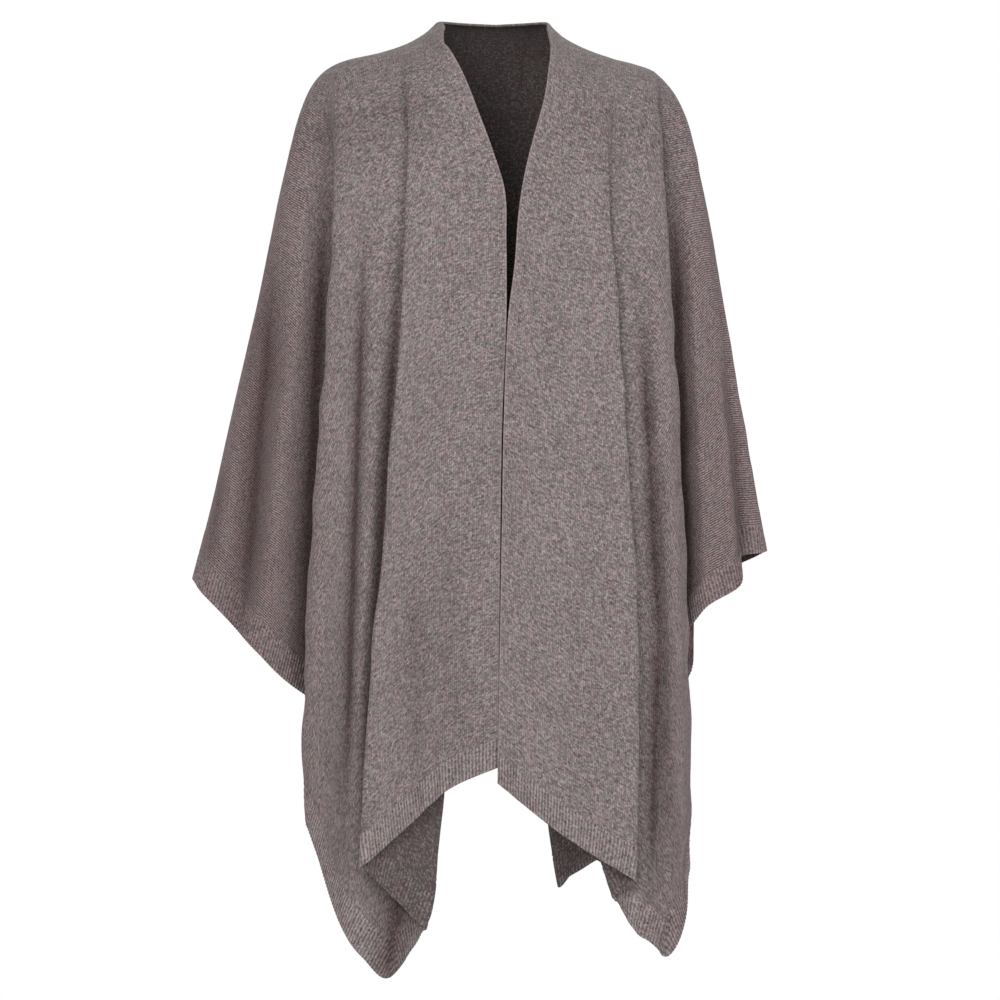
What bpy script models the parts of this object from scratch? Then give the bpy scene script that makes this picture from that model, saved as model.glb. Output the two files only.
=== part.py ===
"""A cashmere wrap: an open-front ruana in fine knit, in the form it takes over the shoulders.

The wrap is one wide rectangle of jersey, folded over the shoulders and slit up the middle of the
front, with a ribbed band on each hem and on each side edge. The figure that fills it is left out.

Each quarter of the cloth is a fan of drape lines. A drape line starts on the shoulder and arm line,
goes forward (or back) over the shoulder on a quarter of an ellipse, and hangs to the hem or to the
side edge. The tables below give one row for each line that shapes a fold, and the cloth between
two rows is a smooth curve through them. Metres in the scene, millimetres in the tables.
X points to the wearer's left, -Y is the front, Z is up, and the origin is between the shoulders.
"""

from collections import namedtuple

import bmesh
import bpy
import numpy as np

MM = 0.001
WRAP_WIDTH = 1.42            # across both arms, from side edge to side edge, laid flat
WRAP_LENGTH = 1.62           # from front hem to back hem over the shoulder, laid flat
BAND_DEPTH = 0.030           # the ribbed bands
JERSEY_THICKNESS = 0.0018
RIB_THICKNESS = 0.0024
SEAM_GAP = 0.0004
FRONT_GAP = 0.0020           # between the two front edges, where they meet
OVER_SHOULDER = 1.25         # cloth used in going over the shoulder, as a share of its depth
SHOULDER_DROP = 0.60         # how far the cloth falls meanwhile, as a share of its depth
MOST_SHOULDER_DROP = 0.4     # and at most this share of the whole fall
LEAST_TURN, MOST_TURN = 0.02, 0.5   # bounds on the share of a drape line that goes over the shoulder
SHORTEST_FALL = 0.02
EDGE_LINES = 3               # over how many drape lines the front edge's own shape fades out
EDGE_STARTS = 1 / 12         # the front edge has its own shape from this share of the way down
FRONT_GAP_FROM = 1 / 4       # and the gap between the two is full from this share

HALF_WIDTH = WRAP_WIDTH / 2
HALF_LENGTH = WRAP_LENGTH / 2

ROWS_DOWN = 16               # faces down a drape line of the jersey
ROWS_BAND = 2                # faces across a band
STEPS_BETWEEN = 2            # faces between two rows of a table
TOP_CROWDING = 1.5           # above 1, the faces are smaller near the shoulder
NEAR = 0.0015                # how far apart the places are that a slope is taken from
FINE_LINES = 1200            # places along the bottom edge that its length is measured at
HALVINGS = 44                # of the interval in which a drape line is looked for
CORNER_POINTS = 3            # down a side band, beside the end of the hem band
MERGE = 0.00002
TINY = 1e-9                  # keeps a division from meeting a length of nothing
MOST_CROWDED = 6             # a seam's gap on the flat cloth is at most this many times the real one

JERSEY_COLOUR = (0.195, 0.155, 0.145, 1.0)
RIB_COLOUR = (0.175, 0.140, 0.132, 1.0)
KNIT_ROUGHNESS = 0.95

# The shoulder and arm line: outward from the middle, up from the shoulder, back from the arm's plane
Ridge = namedtuple("Ridge", "outward up back")
ARM_RIGHT = [
    Ridge(62.9, 41.0, 12), Ridge(77.0, 28.6, 9), Ridge(98.1, 16.7, 6), Ridge(127.6, 6.9, 3),
    Ridge(163.9, -1.5, 0), Ridge(183.7, -10.7, 0), Ridge(198.4, -25.3, 0), Ridge(209.3, -47.3, 0),
    Ridge(218.5, -83.6, 0), Ridge(233.2, -138.6, 0), Ridge(244.2, -196.9, 0),
    Ridge(256.7, -262.4, 0), Ridge(293.7, -418.0, 0), Ridge(311.9, -496.1, 0),
    Ridge(331.9, -571.2, 0),
]
ARM_LEFT = [
    Ridge(58.9, 39.4, 12), Ridge(72.0, 26.5, 9), Ridge(94.2, 13.8, 6), Ridge(127.6, 1.1, 3),
    Ridge(152.0, -5.4, 0), Ridge(175.6, -15.0, 0), Ridge(193.6, -34.0, 0), Ridge(206.6, -61.6, 0),
    Ridge(212.6, -90.9, 0), Ridge(225.2, -148.0, 0), Ridge(242.7, -232.0, 0),
    Ridge(257.3, -309.0, 0), Ridge(279.2, -440.0, 0), Ridge(292.2, -511.0, 0),
    Ridge(298.1, -540.5, 0),
]
# The back of the neck, from the neck point round to the middle of the nape
NAPE_RIGHT = [Ridge(62.9, 41.0, 12), Ridge(57.0, 42.5, 42), Ridge(34.0, 41.5, 64), Ridge(0, 40.0, 71)]
NAPE_LEFT = [Ridge(58.9, 39.4, 12), Ridge(54.0, 42.0, 42), Ridge(33.0, 41.5, 64), Ridge(0, 40.0, 71)]

# The plain front edges: how far outward of the middle at each height
Edge = namedtuple("Edge", "up outward")
EDGE_RIGHT = [
    Edge(29.7, 64.5), Edge(16.5, 56.1), Edge(8.8, 49.0), Edge(-23.1, 32.1), Edge(-61.6, 16.9),
    Edge(-102, 1.8), Edge(-147, -11.7), Edge(-198, -13.2), Edge(-289, -13.2), Edge(-398, -8.8),
    Edge(-484, -7.2), Edge(-776, -4.2),
]
EDGE_LEFT = [
    Edge(27.5, 61.5), Edge(-4.4, 59.4), Edge(-43.5, 53.8), Edge(-80.3, 43.7), Edge(-112, 35.2),
    Edge(-144, 28.6), Edge(-178, 24.2), Edge(-225, 20.8), Edge(-289, 13.2), Edge(-398, 8.8),
    Edge(-484, 7.2), Edge(-793, 2.0),
]

# One row for each drape line that shapes a fold.
# reach: where it starts, 0 at the neck point and 1 at the wrist (-1 at the middle of the nape)
# depth: how far it comes forward of the arm's plane, or behind it, just under the shoulder
# x and y: outward and depth, a third of the way down, two thirds down, and at the bottom edge
# drop: how far the bottom is below the shoulder
Line = namedtuple("Line", "name reach depth third_x third_y low_x low_y x y drop")
FRONT_RIGHT = [
    Line("front_edge", 0, 82, -13, 117, -7, 121, -4.2, 119, 776),
    Line("panel", 0.030, 90, 42, 121, 46, 124, 50, 122, 799),
    Line("soft_trough", 0.050, 92, 74, 121, 86, 117, 88, 113, 834),
    Line("pleat_edge_front", 0.064, 93, 97, 119, 120, 120, 140, 117, 881),
    Line("pleat_edge_back", 0.070, 93, 97, 112, 120, 108, 140, 104, 889),
    Line("pleat_inside_front", 0.076, 92, 74, 108, 55, 98, 80, 92, 950),
    Line("pleat_inside_back", 0.082, 92, 74, 101, 55, 86, 81, 80, 958),
    Line("corner", 0.092, 91, 108, 102, 116, 82, 115, 78, 1009),
    Line("strip", 0.112, 90, 128, 103, 143, 92, 141, 88, 988),
    Line("crease", 0.134, 88, 145, 98, 161, 84, 166, 80, 957),
    Line("second_strip", 0.156, 84, 162, 97, 180, 92, 190, 90, 885),
    Line("side_edge_front", 0.173, 80, 177, 92, 197, 88, 204, 84, 846),
    Line("side_edge_back", 0.181, 76, 180, 80, 200, 70, 205, 66, 830),
    Line("valley_front", 0.190, 70, 166, 64, 160, 38, 174, 22, 766),
    Line("valley_back", 0.199, 68, 168, 56, 162, 28, 178, 9, 722),
    Line("valley_wall", 0.211, 66, 197, 65, 214, 59, 227, 58, 684),
    Line("sleeve_crest", 0.234, 64, 214, 70, 236, 72, 262, 74, 649),
    Line("sleeve_trough", 0.286, 56, 236, 56, 258, 46, 286, 38, 623),
    Line("sleeve_outer", 0.404, 46, 254, 44, 284, 44, 314, 36, 594),
    Line("arm_side", 0.628, 24, 286, 26, 306, 28, 324, 22, 583),
    Line("cuff_side", 0.865, 10, 314, 12, 322, 14, 329, 10, 575),
    Line("wrist", 1, 0, 332, 0, 332, 0, 331.9, 0, 571.2),
]
FRONT_LEFT = [
    Line("front_edge", 0, 82, 24, 120, 7, 124, 2.0, 122, 793),
    Line("panel", 0.035, 90, 60, 123, 54, 126, 55, 125, 836),
    Line("outer_panel", 0.070, 93, 100, 119, 102, 121, 104, 118, 870),
    Line("pleat_edge_front", 0.098, 92, 127, 113, 147, 112, 148, 108, 896),
    Line("pleat_edge_back", 0.104, 92, 131, 107, 148, 101, 148, 96, 903),
    Line("pleat_inside_front", 0.110, 91, 112, 103, 80, 99, 127, 87, 915),
    Line("pleat_inside_back", 0.116, 91, 113, 96, 80, 86, 127, 77, 921),
    Line("strip", 0.128, 90, 146, 97, 152, 84, 152, 78, 955),
    Line("side_trough", 0.139, 89, 160, 92, 175, 74, 173, 74, 970),
    Line("corner", 0.154, 87, 172, 94, 190, 82, 189, 80, 985),
    Line("side_crest", 0.168, 84, 183, 92, 200, 88, 206, 84, 955),
    Line("side_edge_front", 0.182, 80, 191, 86, 206, 80, 210, 78, 900),
    Line("side_edge_back", 0.192, 75, 192, 74, 207, 64, 210, 62, 872),
    Line("valley_front", 0.201, 70, 168, 62, 162, 38, 158, 20, 772),
    Line("valley_back", 0.210, 68, 170, 54, 164, 28, 161, 8, 696),
    Line("valley_wall", 0.222, 66, 199, 61, 212, 54, 214, 55, 622),
    Line("sleeve_crest", 0.245, 64, 214, 64, 226, 66, 234, 68, 599),
    Line("sleeve_lobe", 0.297, 56, 232, 54, 248, 56, 261, 60, 584),
    Line("lobe_lip", 0.333, 50, 238, 48, 258, 48, 271, 48, 572),
    Line("cuff_valley", 0.362, 46, 240, 42, 257, 36, 269, 30, 547),
    Line("sleeve_outer", 0.435, 40, 250, 34, 272, 30, 285, 24, 543),
    Line("arm_side", 0.652, 24, 266, 24, 283, 22, 293, 13, 542),
    Line("cuff_side", 0.870, 9, 285, 10, 291, 10, 296, 6, 541),
    Line("wrist", 1, 0, 298, 0, 298, 0, 298.1, 0, 540.5),
]
BACK_RIGHT = [
    Line("centre_back", -1, 98, 0, 112, 0, 96, 0, 100, 758),
    Line("panel", -0.40, 97, 50, 111, 50, 100, 48, 104, 782),
    Line("outer_panel", 0.020, 95, 82, 108, 90, 97, 96, 98, 822),
    Line("pleat_edge_front", 0.064, 93, 108, 104, 125, 99, 134, 100, 858),
    Line("pleat_edge_back", 0.070, 93, 110, 98, 126, 89, 134, 88, 866),
    Line("pleat_inside_front", 0.076, 92, 86, 94, 58, 82, 66, 76, 934),
    Line("pleat_inside_back", 0.084, 91, 86, 87, 58, 69, 67, 64, 944),
    Line("corner", 0.098, 90, 118, 88, 118, 66, 120, 60, 985),
    Line("strip", 0.112, 88, 132, 92, 142, 76, 148, 74, 962),
    Line("crease", 0.134, 86, 146, 86, 160, 68, 166, 66, 930),
    Line("second_strip", 0.156, 83, 160, 88, 178, 80, 186, 78, 870),
    Line("side_edge_front", 0.173, 79, 174, 84, 192, 78, 198, 74, 830),
    Line("side_edge_back", 0.181, 75, 177, 74, 195, 62, 198, 58, 812),
    Line("valley_front", 0.190, 70, 164, 62, 160, 38, 180, 24, 758),
    Line("valley_back", 0.199, 68, 166, 54, 162, 28, 184, 11, 716),
    Line("valley_wall", 0.211, 66, 195, 62, 211, 56, 223, 56, 678),
    Line("sleeve_crest", 0.234, 63, 213, 68, 234, 70, 258, 70, 642),
    Line("sleeve_trough", 0.286, 56, 236, 56, 257, 46, 284, 38, 615),
    Line("sleeve_outer", 0.404, 46, 254, 44, 284, 44, 313, 34, 588),
    Line("arm_side", 0.628, 24, 286, 26, 306, 28, 324, 20, 578),
    Line("cuff_side", 0.865, 10, 314, 12, 322, 14, 329, 9, 573),
    Line("wrist", 1, 0, 332, 0, 332, 0, 331.9, 0, 571.2),
]
BACK_LEFT = [
    Line("centre_back", -1, 98, 0, 112, 0, 96, 0, 100, 758),
    Line("panel", -0.40, 97, 50, 111, 50, 100, 48, 103, 780),
    Line("outer_panel", 0.030, 95, 86, 107, 92, 97, 98, 97, 820),
    Line("pleat_edge_front", 0.085, 92, 120, 102, 138, 96, 146, 94, 856),
    Line("pleat_edge_back", 0.092, 92, 121, 96, 138, 86, 146, 83, 863),
    Line("pleat_inside_front", 0.098, 91, 95, 92, 60, 80, 74, 72, 896),
    Line("pleat_inside_back", 0.106, 90, 95, 86, 60, 67, 75, 60, 902),
    Line("hem_rise", 0.120, 89, 124, 88, 122, 68, 110, 60, 876),
    Line("corner", 0.138, 88, 150, 92, 165, 74, 176, 66, 950),
    Line("crease", 0.152, 86, 164, 86, 180, 68, 190, 64, 925),
    Line("second_strip", 0.166, 83, 175, 86, 192, 79, 198, 76, 885),
    Line("side_edge_front", 0.180, 79, 184, 82, 201, 75, 205, 71, 842),
    Line("side_edge_back", 0.190, 75, 187, 74, 202, 62, 206, 60, 814),
    Line("valley_front", 0.199, 70, 167, 61, 162, 38, 174, 24, 770),
    Line("valley_back", 0.207, 68, 169, 53, 164, 28, 177, 13, 720),
    Line("rear_lobe", 0.218, 66, 197, 60, 209, 50, 217, 46, 676),
    Line("rear_lobe_side", 0.231, 65, 207, 64, 217, 62, 216, 64, 630),
    Line("sleeve_crest", 0.252, 64, 217, 66, 226, 67, 228, 68, 594),
    Line("sleeve_trough", 0.300, 56, 232, 58, 247, 54, 256, 52, 562),
    Line("sleeve_outer", 0.435, 40, 250, 38, 272, 34, 284, 27, 548),
    Line("arm_side", 0.652, 24, 266, 24, 283, 20, 293, 12, 543),
    Line("cuff_side", 0.870, 9, 285, 10, 291, 9, 296, 5, 541),
    Line("wrist", 1, 0, 298, 0, 298, 0, 298.1, 0, 540.5),
]


def smooth(knots, values, at, always_rising=False):
    """A cubic curve through the values at the knots. Its slope at a knot is that from the knot
    before to the knot after, or, for values that always rise, the harmonic mean of the slopes on
    its two sides, so that the curve always rises too."""
    knots = np.asarray(knots, float)
    values = np.asarray(values, float)
    chords = np.diff(values) / np.diff(knots)
    slopes = np.empty_like(values)
    slopes[1:-1] = (values[2:] - values[:-2]) / (knots[2:] - knots[:-2])
    if always_rising:
        slopes[1:-1] = 2 * chords[1:] * chords[:-1] / (chords[1:] + chords[:-1])
    slopes[0] = chords[0]
    slopes[-1] = chords[-1]
    at = np.clip(at, knots[0], knots[-1])
    left = np.clip(np.searchsorted(knots, at, side="right") - 1, 0, len(knots) - 2)
    span = knots[left + 1] - knots[left]
    part = (at - knots[left]) / span
    start = values[left] * (1 + 2 * part) * (1 - part) ** 2 + slopes[left] * span * part * (1 - part) ** 2
    end = values[left + 1] * part**2 * (3 - 2 * part) - slopes[left + 1] * span * part**2 * (1 - part)
    return start + end


def down_the_line(values, down):
    """The cubic through four values: at the top, a third and two thirds down, and at the bottom."""
    third, low = down - 1 / 3, down - 2 / 3
    weights = (-9 / 2 * third * low * (down - 1), 27 / 2 * down * low * (down - 1),
               -27 / 2 * down * third * (down - 1), 9 / 2 * down * third * low)
    return sum(weight * value for weight, value in zip(weights, values))


class TopLine:
    """The line that a quarter hangs from: the arm line and, for the back, the back of the neck."""

    def __init__(self, points):
        self.points = np.array(points, float) * MM
        steps = np.linalg.norm(np.diff(self.points, axis=0), axis=1)
        self.knots = np.concatenate([[0], np.cumsum(steps)]) / steps.sum()

    def at(self, share):
        return [smooth(self.knots, column, share) for column in self.points.T]


class Quarter:
    """A quarter of the cloth. line counts along the rows of its table, and down runs 0 to 1."""

    def __init__(self, lines, arm, nape=None, edge=None, before=None):
        table = [before] if before else []
        self.table = table + lines
        self.first = len(table)
        self.last = self.first + len(lines) - 1
        self.arm = TopLine(arm)
        self.nape = TopLine(nape) if nape else None
        self.edge = edge
        self.rows = np.arange(len(self.table), dtype=float)
        self.corner = [line.name for line in self.table].index("corner")
        self.measure_bottom()

    def value(self, name, line):
        """A column of the table, between its rows, in metres where it is a length."""
        values = np.array([getattr(row, name) for row in self.table], float)
        if name == "reach":
            return smooth(self.rows, values, line, always_rising=True)
        return smooth(self.rows, values, line) * MM

    def top(self, line):
        """The point on the top line where a drape line starts."""
        reach = self.value("reach", line)
        outward, up, back = self.arm.at(np.clip(reach, 0, 1))
        if self.nape:
            behind = self.nape.at(np.clip(-reach, 0, 1))
            outward, up, back = (np.where(reach < 0, b, a) for a, b in zip((outward, up, back), behind))
        return outward, up, back

    def point(self, line, down):
        """The cloth at a drape line and a share of the way down it: outward, forward or back, up.

        outward: a cubic through the top, a third, two thirds and the bottom of the line.
        depth: the same cubic through the depths, times the sine of an angle that turns from 0 to a
        right angle while the cloth goes over the shoulder.
        height: falls with one less the cosine of that angle, and then evenly to the bottom.
        """
        line, down = np.broadcast_arrays(np.asarray(line, float), np.asarray(down, float))
        _, up, back = self.top(line)
        shoulder = self.value("depth", line)
        depth = down_the_line([self.value(name, line) for name in ("depth", "third_y", "low_y", "y")], down)
        x = self.across(line, down)
        fall = up + self.value("drop", line)
        turn_share = OVER_SHOULDER * shoulder / np.maximum(fall, SHORTEST_FALL)
        turn_share = np.clip(turn_share, LEAST_TURN, MOST_TURN)
        angle = np.clip(down / turn_share, 0, 1) * np.pi / 2
        turn_drop = np.minimum(SHOULDER_DROP * shoulder, MOST_SHOULDER_DROP * fall)
        after = np.clip((down - turn_share) / (1 - turn_share), 0, 1)
        z = up - turn_drop * (1 - np.cos(angle)) - (fall - turn_drop) * after
        y = depth * np.sin(angle) + back * self.back_sign() * (1 - np.sin(angle))
        if self.edge:
            x = x + self.edge_shift(line, down, z)
        return x, y, z

    def across(self, line, down):
        """How far outward a drape line is, without the front edge's own shape."""
        return down_the_line([self.top(line)[0]] + [self.value(name, line) for name in
                                                    ("third_x", "low_x", "x")], down)

    def back_sign(self):
        """The top line's own depth counts back for the back quarters and against the front ones."""
        return 1 if self.nape else -1

    def edge_shift(self, line, down, z):
        """Brings the first line to the plain front edge, and fades to nothing EDGE_LINES further."""
        heights = [point.up * MM for point in self.edge][::-1]
        outward = [point.outward * MM for point in self.edge][::-1]
        wanted = smooth(heights, outward, z)
        plain = self.across(np.full_like(line, float(self.first)), down)
        fade = np.clip(1 - (line - self.first) / EDGE_LINES, 0, 1) ** 2
        clear = FRONT_GAP / 2 * np.clip(down / FRONT_GAP_FROM, 0, 1)
        return (wanted - plain + clear) * fade * np.clip(down / EDGE_STARTS, 0, 1)

    def measure_bottom(self):
        """Where each drape line starts and ends on the flat cloth. The hem runs from the middle to the
        corner, and the side edge from the corner to the wrist, each by its length along the bottom."""
        self.fine = np.linspace(self.first, self.last, FINE_LINES)
        bottom = np.stack(self.point(self.fine, 1.0), axis=1)
        steps = np.linalg.norm(np.diff(bottom, axis=0), axis=1)
        length = np.concatenate([[0], np.cumsum(steps)])
        at_corner = np.interp(self.corner, self.fine, length)
        self.end_s = np.clip(length / at_corner, 0, 1) * HALF_WIDTH
        self.end_t = np.clip((length[-1] - length) / (length[-1] - at_corner), 0, 1) * HALF_LENGTH
        reach = self.value("reach", self.fine)
        lowest, highest = reach[0], reach[-1]
        self.start_s = (reach - lowest) / (highest - lowest) * HALF_WIDTH

    def on_cloth(self, s, t):
        """The drape line and share down of the point s from the middle and t from the shoulder on
        the flat cloth, found by halving: the point lies left of one line and right of another."""
        s, t = np.broadcast_arrays(np.asarray(s, float), np.asarray(t, float))
        low = np.full(s.shape, float(self.first))
        high = np.full(s.shape, float(self.last))
        for _ in range(HALVINGS):
            middle = (low + high) / 2
            start = np.interp(middle, self.fine, self.start_s)
            end = np.interp(middle, self.fine, self.end_s)
            fall = np.interp(middle, self.fine, self.end_t)
            beyond = (end - start) * t - fall * (s - start) < 0
            low = np.where(beyond, middle, low)
            high = np.where(beyond, high, middle)
        line = (low + high) / 2
        start = np.interp(line, self.fine, self.start_s)
        run = np.hypot(np.interp(line, self.fine, self.end_s) - start, np.interp(line, self.fine, self.end_t))
        down = np.hypot(s - start, t) / np.maximum(run, TINY)
        return line, np.clip(down, 0, 1)

    def seam(self):
        """Where drape lines cross the bands' seam, as points on the flat cloth. The seam runs along the
        hem, turns at the corner and ends on the arm line. Each gap between two rows of the table has
        the same number of steps."""
        lines = np.linspace(self.first, self.last, (self.last - self.first) * STEPS_BETWEEN + 1)
        start = np.interp(lines, self.fine, self.start_s)
        end = np.interp(lines, self.fine, self.end_s)
        fall = np.interp(lines, self.fine, self.end_t)
        to_hem = (HALF_LENGTH - BAND_DEPTH) / np.maximum(fall, TINY)
        to_side = (HALF_WIDTH - BAND_DEPTH - start) / np.maximum(end - start, TINY)
        share = np.clip(np.minimum(to_hem, to_side), 0, 1)
        s = np.minimum(start + (end - start) * share, HALF_WIDTH - BAND_DEPTH)
        t = np.minimum(fall * share, HALF_LENGTH - BAND_DEPTH)
        on_side = to_side < to_hem
        hem_stations = np.append(s[~on_side], HALF_WIDTH - BAND_DEPTH)
        side_stations = np.append(t[on_side & (share > 0)], 0.0)
        return hem_stations, side_stations


def surface(quarter, s, t, side, face):
    """The cloth's points and outward directions, in the scene, for arrays of places on the flat cloth.

    side is -1 on the wearer's right and 1 on the left, and face is -1 on the front and 1 on the back.
    The direction is the cross product of the slopes along and down the cloth, from two places a
    little apart. On the arm line the slope down is straight forward or back, so that the front
    and the back share one direction there, and on the middle of the back the slope along is
    straight across."""
    s, t = np.broadcast_arrays(np.asarray(s, float), np.asarray(t, float))
    mirror = np.array([side, face, 1.0])

    def place(along, fall):
        line, down = quarter.on_cloth(np.clip(along, 0, HALF_WIDTH), np.clip(fall, 0, HALF_LENGTH))
        return np.stack(quarter.point(line, down), axis=-1) * mirror

    along = place(s + NEAR, t) - place(s - NEAR, t)
    fall = place(s, t + NEAR) - place(s, t - NEAR)
    on_arm = (t < NEAR)[..., None]
    fall = np.where(on_arm, np.array([0.0, face, 0.0]), fall)
    if quarter.nape:
        along = np.where((s < NEAR)[..., None], np.array([side, 0.0, 0.0]), along)
    outward = np.cross(fall, along) * -side * face
    outward /= np.maximum(np.linalg.norm(outward, axis=-1, keepdims=True), TINY**2)
    return place(s, t), outward


def half_gaps(quarter, s, t, seam_runs_down):
    """How far on the flat cloth each piece stops short of a seam, so that the pieces are SEAM_GAP
    apart as they hang: the gap is larger where the drape crowds the cloth towards the seam."""
    def place(along, fall):
        return np.stack(quarter.point(*quarter.on_cloth(along, fall)), axis=-1) / (2 * NEAR)

    t = np.clip(t, NEAR, HALF_LENGTH - NEAR)
    along = place(s + NEAR, t) - place(s - NEAR, t)
    fall = place(s, t + NEAR) - place(s, t - NEAR)
    seam = fall if seam_runs_down else along
    spacing = np.linalg.norm(np.cross(along, fall), axis=-1) / np.linalg.norm(seam, axis=-1)
    return SEAM_GAP / 2 / np.clip(spacing, 1 / MOST_CROWDED, 1)


def jersey_grid(quarter, side, face):
    """The panel: drape lines from the top line to the seam of the bands."""
    hem, wrist = quarter.seam()
    seam_s = np.concatenate([hem, np.full(len(wrist), HALF_WIDTH - BAND_DEPTH)])
    seam_t = np.concatenate([np.full(len(hem), HALF_LENGTH - BAND_DEPTH), wrist])
    line, _ = quarter.on_cloth(seam_s, seam_t)
    top_s = np.interp(line, quarter.fine, quarter.start_s)
    shares = np.linspace(0, 1, ROWS_DOWN + 1)[None, :] ** TOP_CROWDING
    last_s = HALF_WIDTH - BAND_DEPTH - half_gaps(quarter, seam_s, seam_t, seam_runs_down=True)
    last_t = HALF_LENGTH - BAND_DEPTH - half_gaps(quarter, seam_s, seam_t, seam_runs_down=False)
    first_t = SEAM_GAP / 2
    top_s = np.minimum(top_s, last_s)
    end_s = np.minimum(seam_s, last_s)
    end_t = np.clip(seam_t, first_t, last_t)
    s = top_s[:, None] + (end_s - top_s)[:, None] * shares
    t = first_t + (end_t - first_t)[:, None] * shares
    return surface(quarter, s, t, side, face)


def hem_grid(quarter, side, face):
    """The rib along the hem, between the middle and the side band."""
    hem, _ = quarter.seam()
    seam_t = HALF_LENGTH - BAND_DEPTH
    gap = half_gaps(quarter, hem, np.full(len(hem), seam_t), seam_runs_down=False)
    side_gap = half_gaps(quarter, np.array([HALF_WIDTH - BAND_DEPTH]), np.array([seam_t]), True)
    hem = np.minimum(hem, HALF_WIDTH - BAND_DEPTH - side_gap[0])
    across = np.linspace(0, 1, ROWS_BAND + 1)[None, :]
    t = (seam_t + gap)[:, None] * (1 - across) + HALF_LENGTH * across
    return surface(quarter, hem[:, None], t, side, face)


def side_grid(quarter, side, face):
    """The rib along the side edge, from the hem's bottom corner up to the arm line."""
    _, wrist = quarter.seam()
    below = np.linspace(HALF_LENGTH, HALF_LENGTH - BAND_DEPTH, CORNER_POINTS)
    stations = np.maximum(np.concatenate([below, wrist]), SEAM_GAP / 2)
    seam_s = HALF_WIDTH - BAND_DEPTH
    gap = half_gaps(quarter, np.full(len(stations), seam_s), stations, seam_runs_down=True)
    across = np.linspace(0, 1, ROWS_BAND + 1)[None, :]
    s = (seam_s + gap)[:, None] * (1 - across) + HALF_WIDTH * across
    return surface(quarter, s, stations[:, None], side, face)


def make_material(name, colour):
    material = bpy.data.materials.new(name)
    material.use_nodes = True
    shader = material.node_tree.nodes["Principled BSDF"]
    shader.inputs["Base Color"].default_value = colour
    shader.inputs["Roughness"].default_value = KNIT_ROUGHNESS
    shader.inputs["Metallic"].default_value = 0.0
    return material


def add_sheet(shell, points, flip):
    """Adds the faces of one grid of points, wound one way or the other."""
    corners = [[shell.verts.new(point) for point in column] for column in points]
    for left, right in zip(corners[:-1], corners[1:]):
        for top_left, low_left, top_right, low_right in zip(left[:-1], left[1:], right[:-1], right[1:]):
            loop = (top_left, low_left, low_right, top_right)
            shell.faces.new(loop[::-1] if flip else loop)


def make_cloth(name, grids, thickness, material, collection):
    """A wall of cloth on one or more grids, each of points and outward directions.

    Each face of the wall stands half the thickness off the points, along the directions, so the
    walls of two pieces are parallel where they meet at a seam. Points that two grids share are
    merged, and the open borders of the two faces are joined by a rim."""
    shell = bmesh.new()
    for points, outward in grids:
        add_sheet(shell, points + outward * thickness / 2, flip=False)
    bmesh.ops.remove_doubles(shell, verts=shell.verts, dist=MERGE)
    outer_borders = [edge for edge in shell.edges if edge.is_boundary]
    outer_faces = list(shell.faces)
    for points, outward in grids:
        add_sheet(shell, points - outward * thickness / 2, flip=True)
    inner = [vert for vert in shell.verts if not any(face in outer_faces for face in vert.link_faces)]
    bmesh.ops.remove_doubles(shell, verts=inner, dist=MERGE)
    inner_borders = [edge for edge in shell.edges if edge.is_boundary and edge not in outer_borders]
    bmesh.ops.bridge_loops(shell, edges=outer_borders + inner_borders)
    bmesh.ops.triangulate(shell, faces=shell.faces, quad_method="SHORT_EDGE")
    bmesh.ops.recalc_face_normals(shell, faces=shell.faces)
    mesh = bpy.data.meshes.new(name)
    shell.to_mesh(mesh)
    shell.free()
    mesh.materials.append(material)
    mesh.shade_smooth()
    piece = bpy.data.objects.new(name, mesh)
    collection.objects.link(piece)
    return piece


def clear_scene():
    for piece in list(bpy.data.objects):
        bpy.data.objects.remove(piece, do_unlink=True)


def main():
    clear_scene()
    collection = bpy.data.collections.new("cashmere_wrap")
    bpy.context.scene.collection.children.link(collection)
    jersey = make_material("jersey", JERSEY_COLOUR)
    rib = make_material("rib", RIB_COLOUR)

    def mirrored(line):
        return line._replace(reach=-2 - line.reach, third_x=-line.third_x, low_x=-line.low_x, x=-line.x)

    front_right = Quarter(FRONT_RIGHT, ARM_RIGHT, edge=EDGE_RIGHT)
    front_left = Quarter(FRONT_LEFT, ARM_LEFT, edge=EDGE_LEFT)
    back_right = Quarter(BACK_RIGHT, ARM_RIGHT, nape=NAPE_RIGHT, before=mirrored(BACK_LEFT[1]))
    back_left = Quarter(BACK_LEFT, ARM_LEFT, nape=NAPE_LEFT, before=mirrored(BACK_RIGHT[1]))
    quarters = {
        "front_right": (front_right, -1, -1),
        "front_left": (front_left, 1, -1),
        "back_right": (back_right, -1, 1),
        "back_left": (back_left, 1, 1),
    }
    panels = {name: jersey_grid(*where) for name, where in quarters.items()}
    hems = {name: hem_grid(*where) for name, where in quarters.items()}
    sides = {name: side_grid(*where) for name, where in quarters.items()}

    make_cloth("front_right", [panels["front_right"]], JERSEY_THICKNESS, jersey, collection)
    make_cloth("front_left", [panels["front_left"]], JERSEY_THICKNESS, jersey, collection)
    make_cloth("back", [panels["back_right"], panels["back_left"]], JERSEY_THICKNESS, jersey, collection)
    make_cloth("hem_band_front_right", [hems["front_right"]], RIB_THICKNESS, rib, collection)
    make_cloth("hem_band_front_left", [hems["front_left"]], RIB_THICKNESS, rib, collection)
    make_cloth("hem_band_back", [hems["back_right"], hems["back_left"]], RIB_THICKNESS, rib, collection)
    for name, grid in sides.items():
        make_cloth("side_band_" + name, [grid], RIB_THICKNESS, rib, collection)


main()
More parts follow.
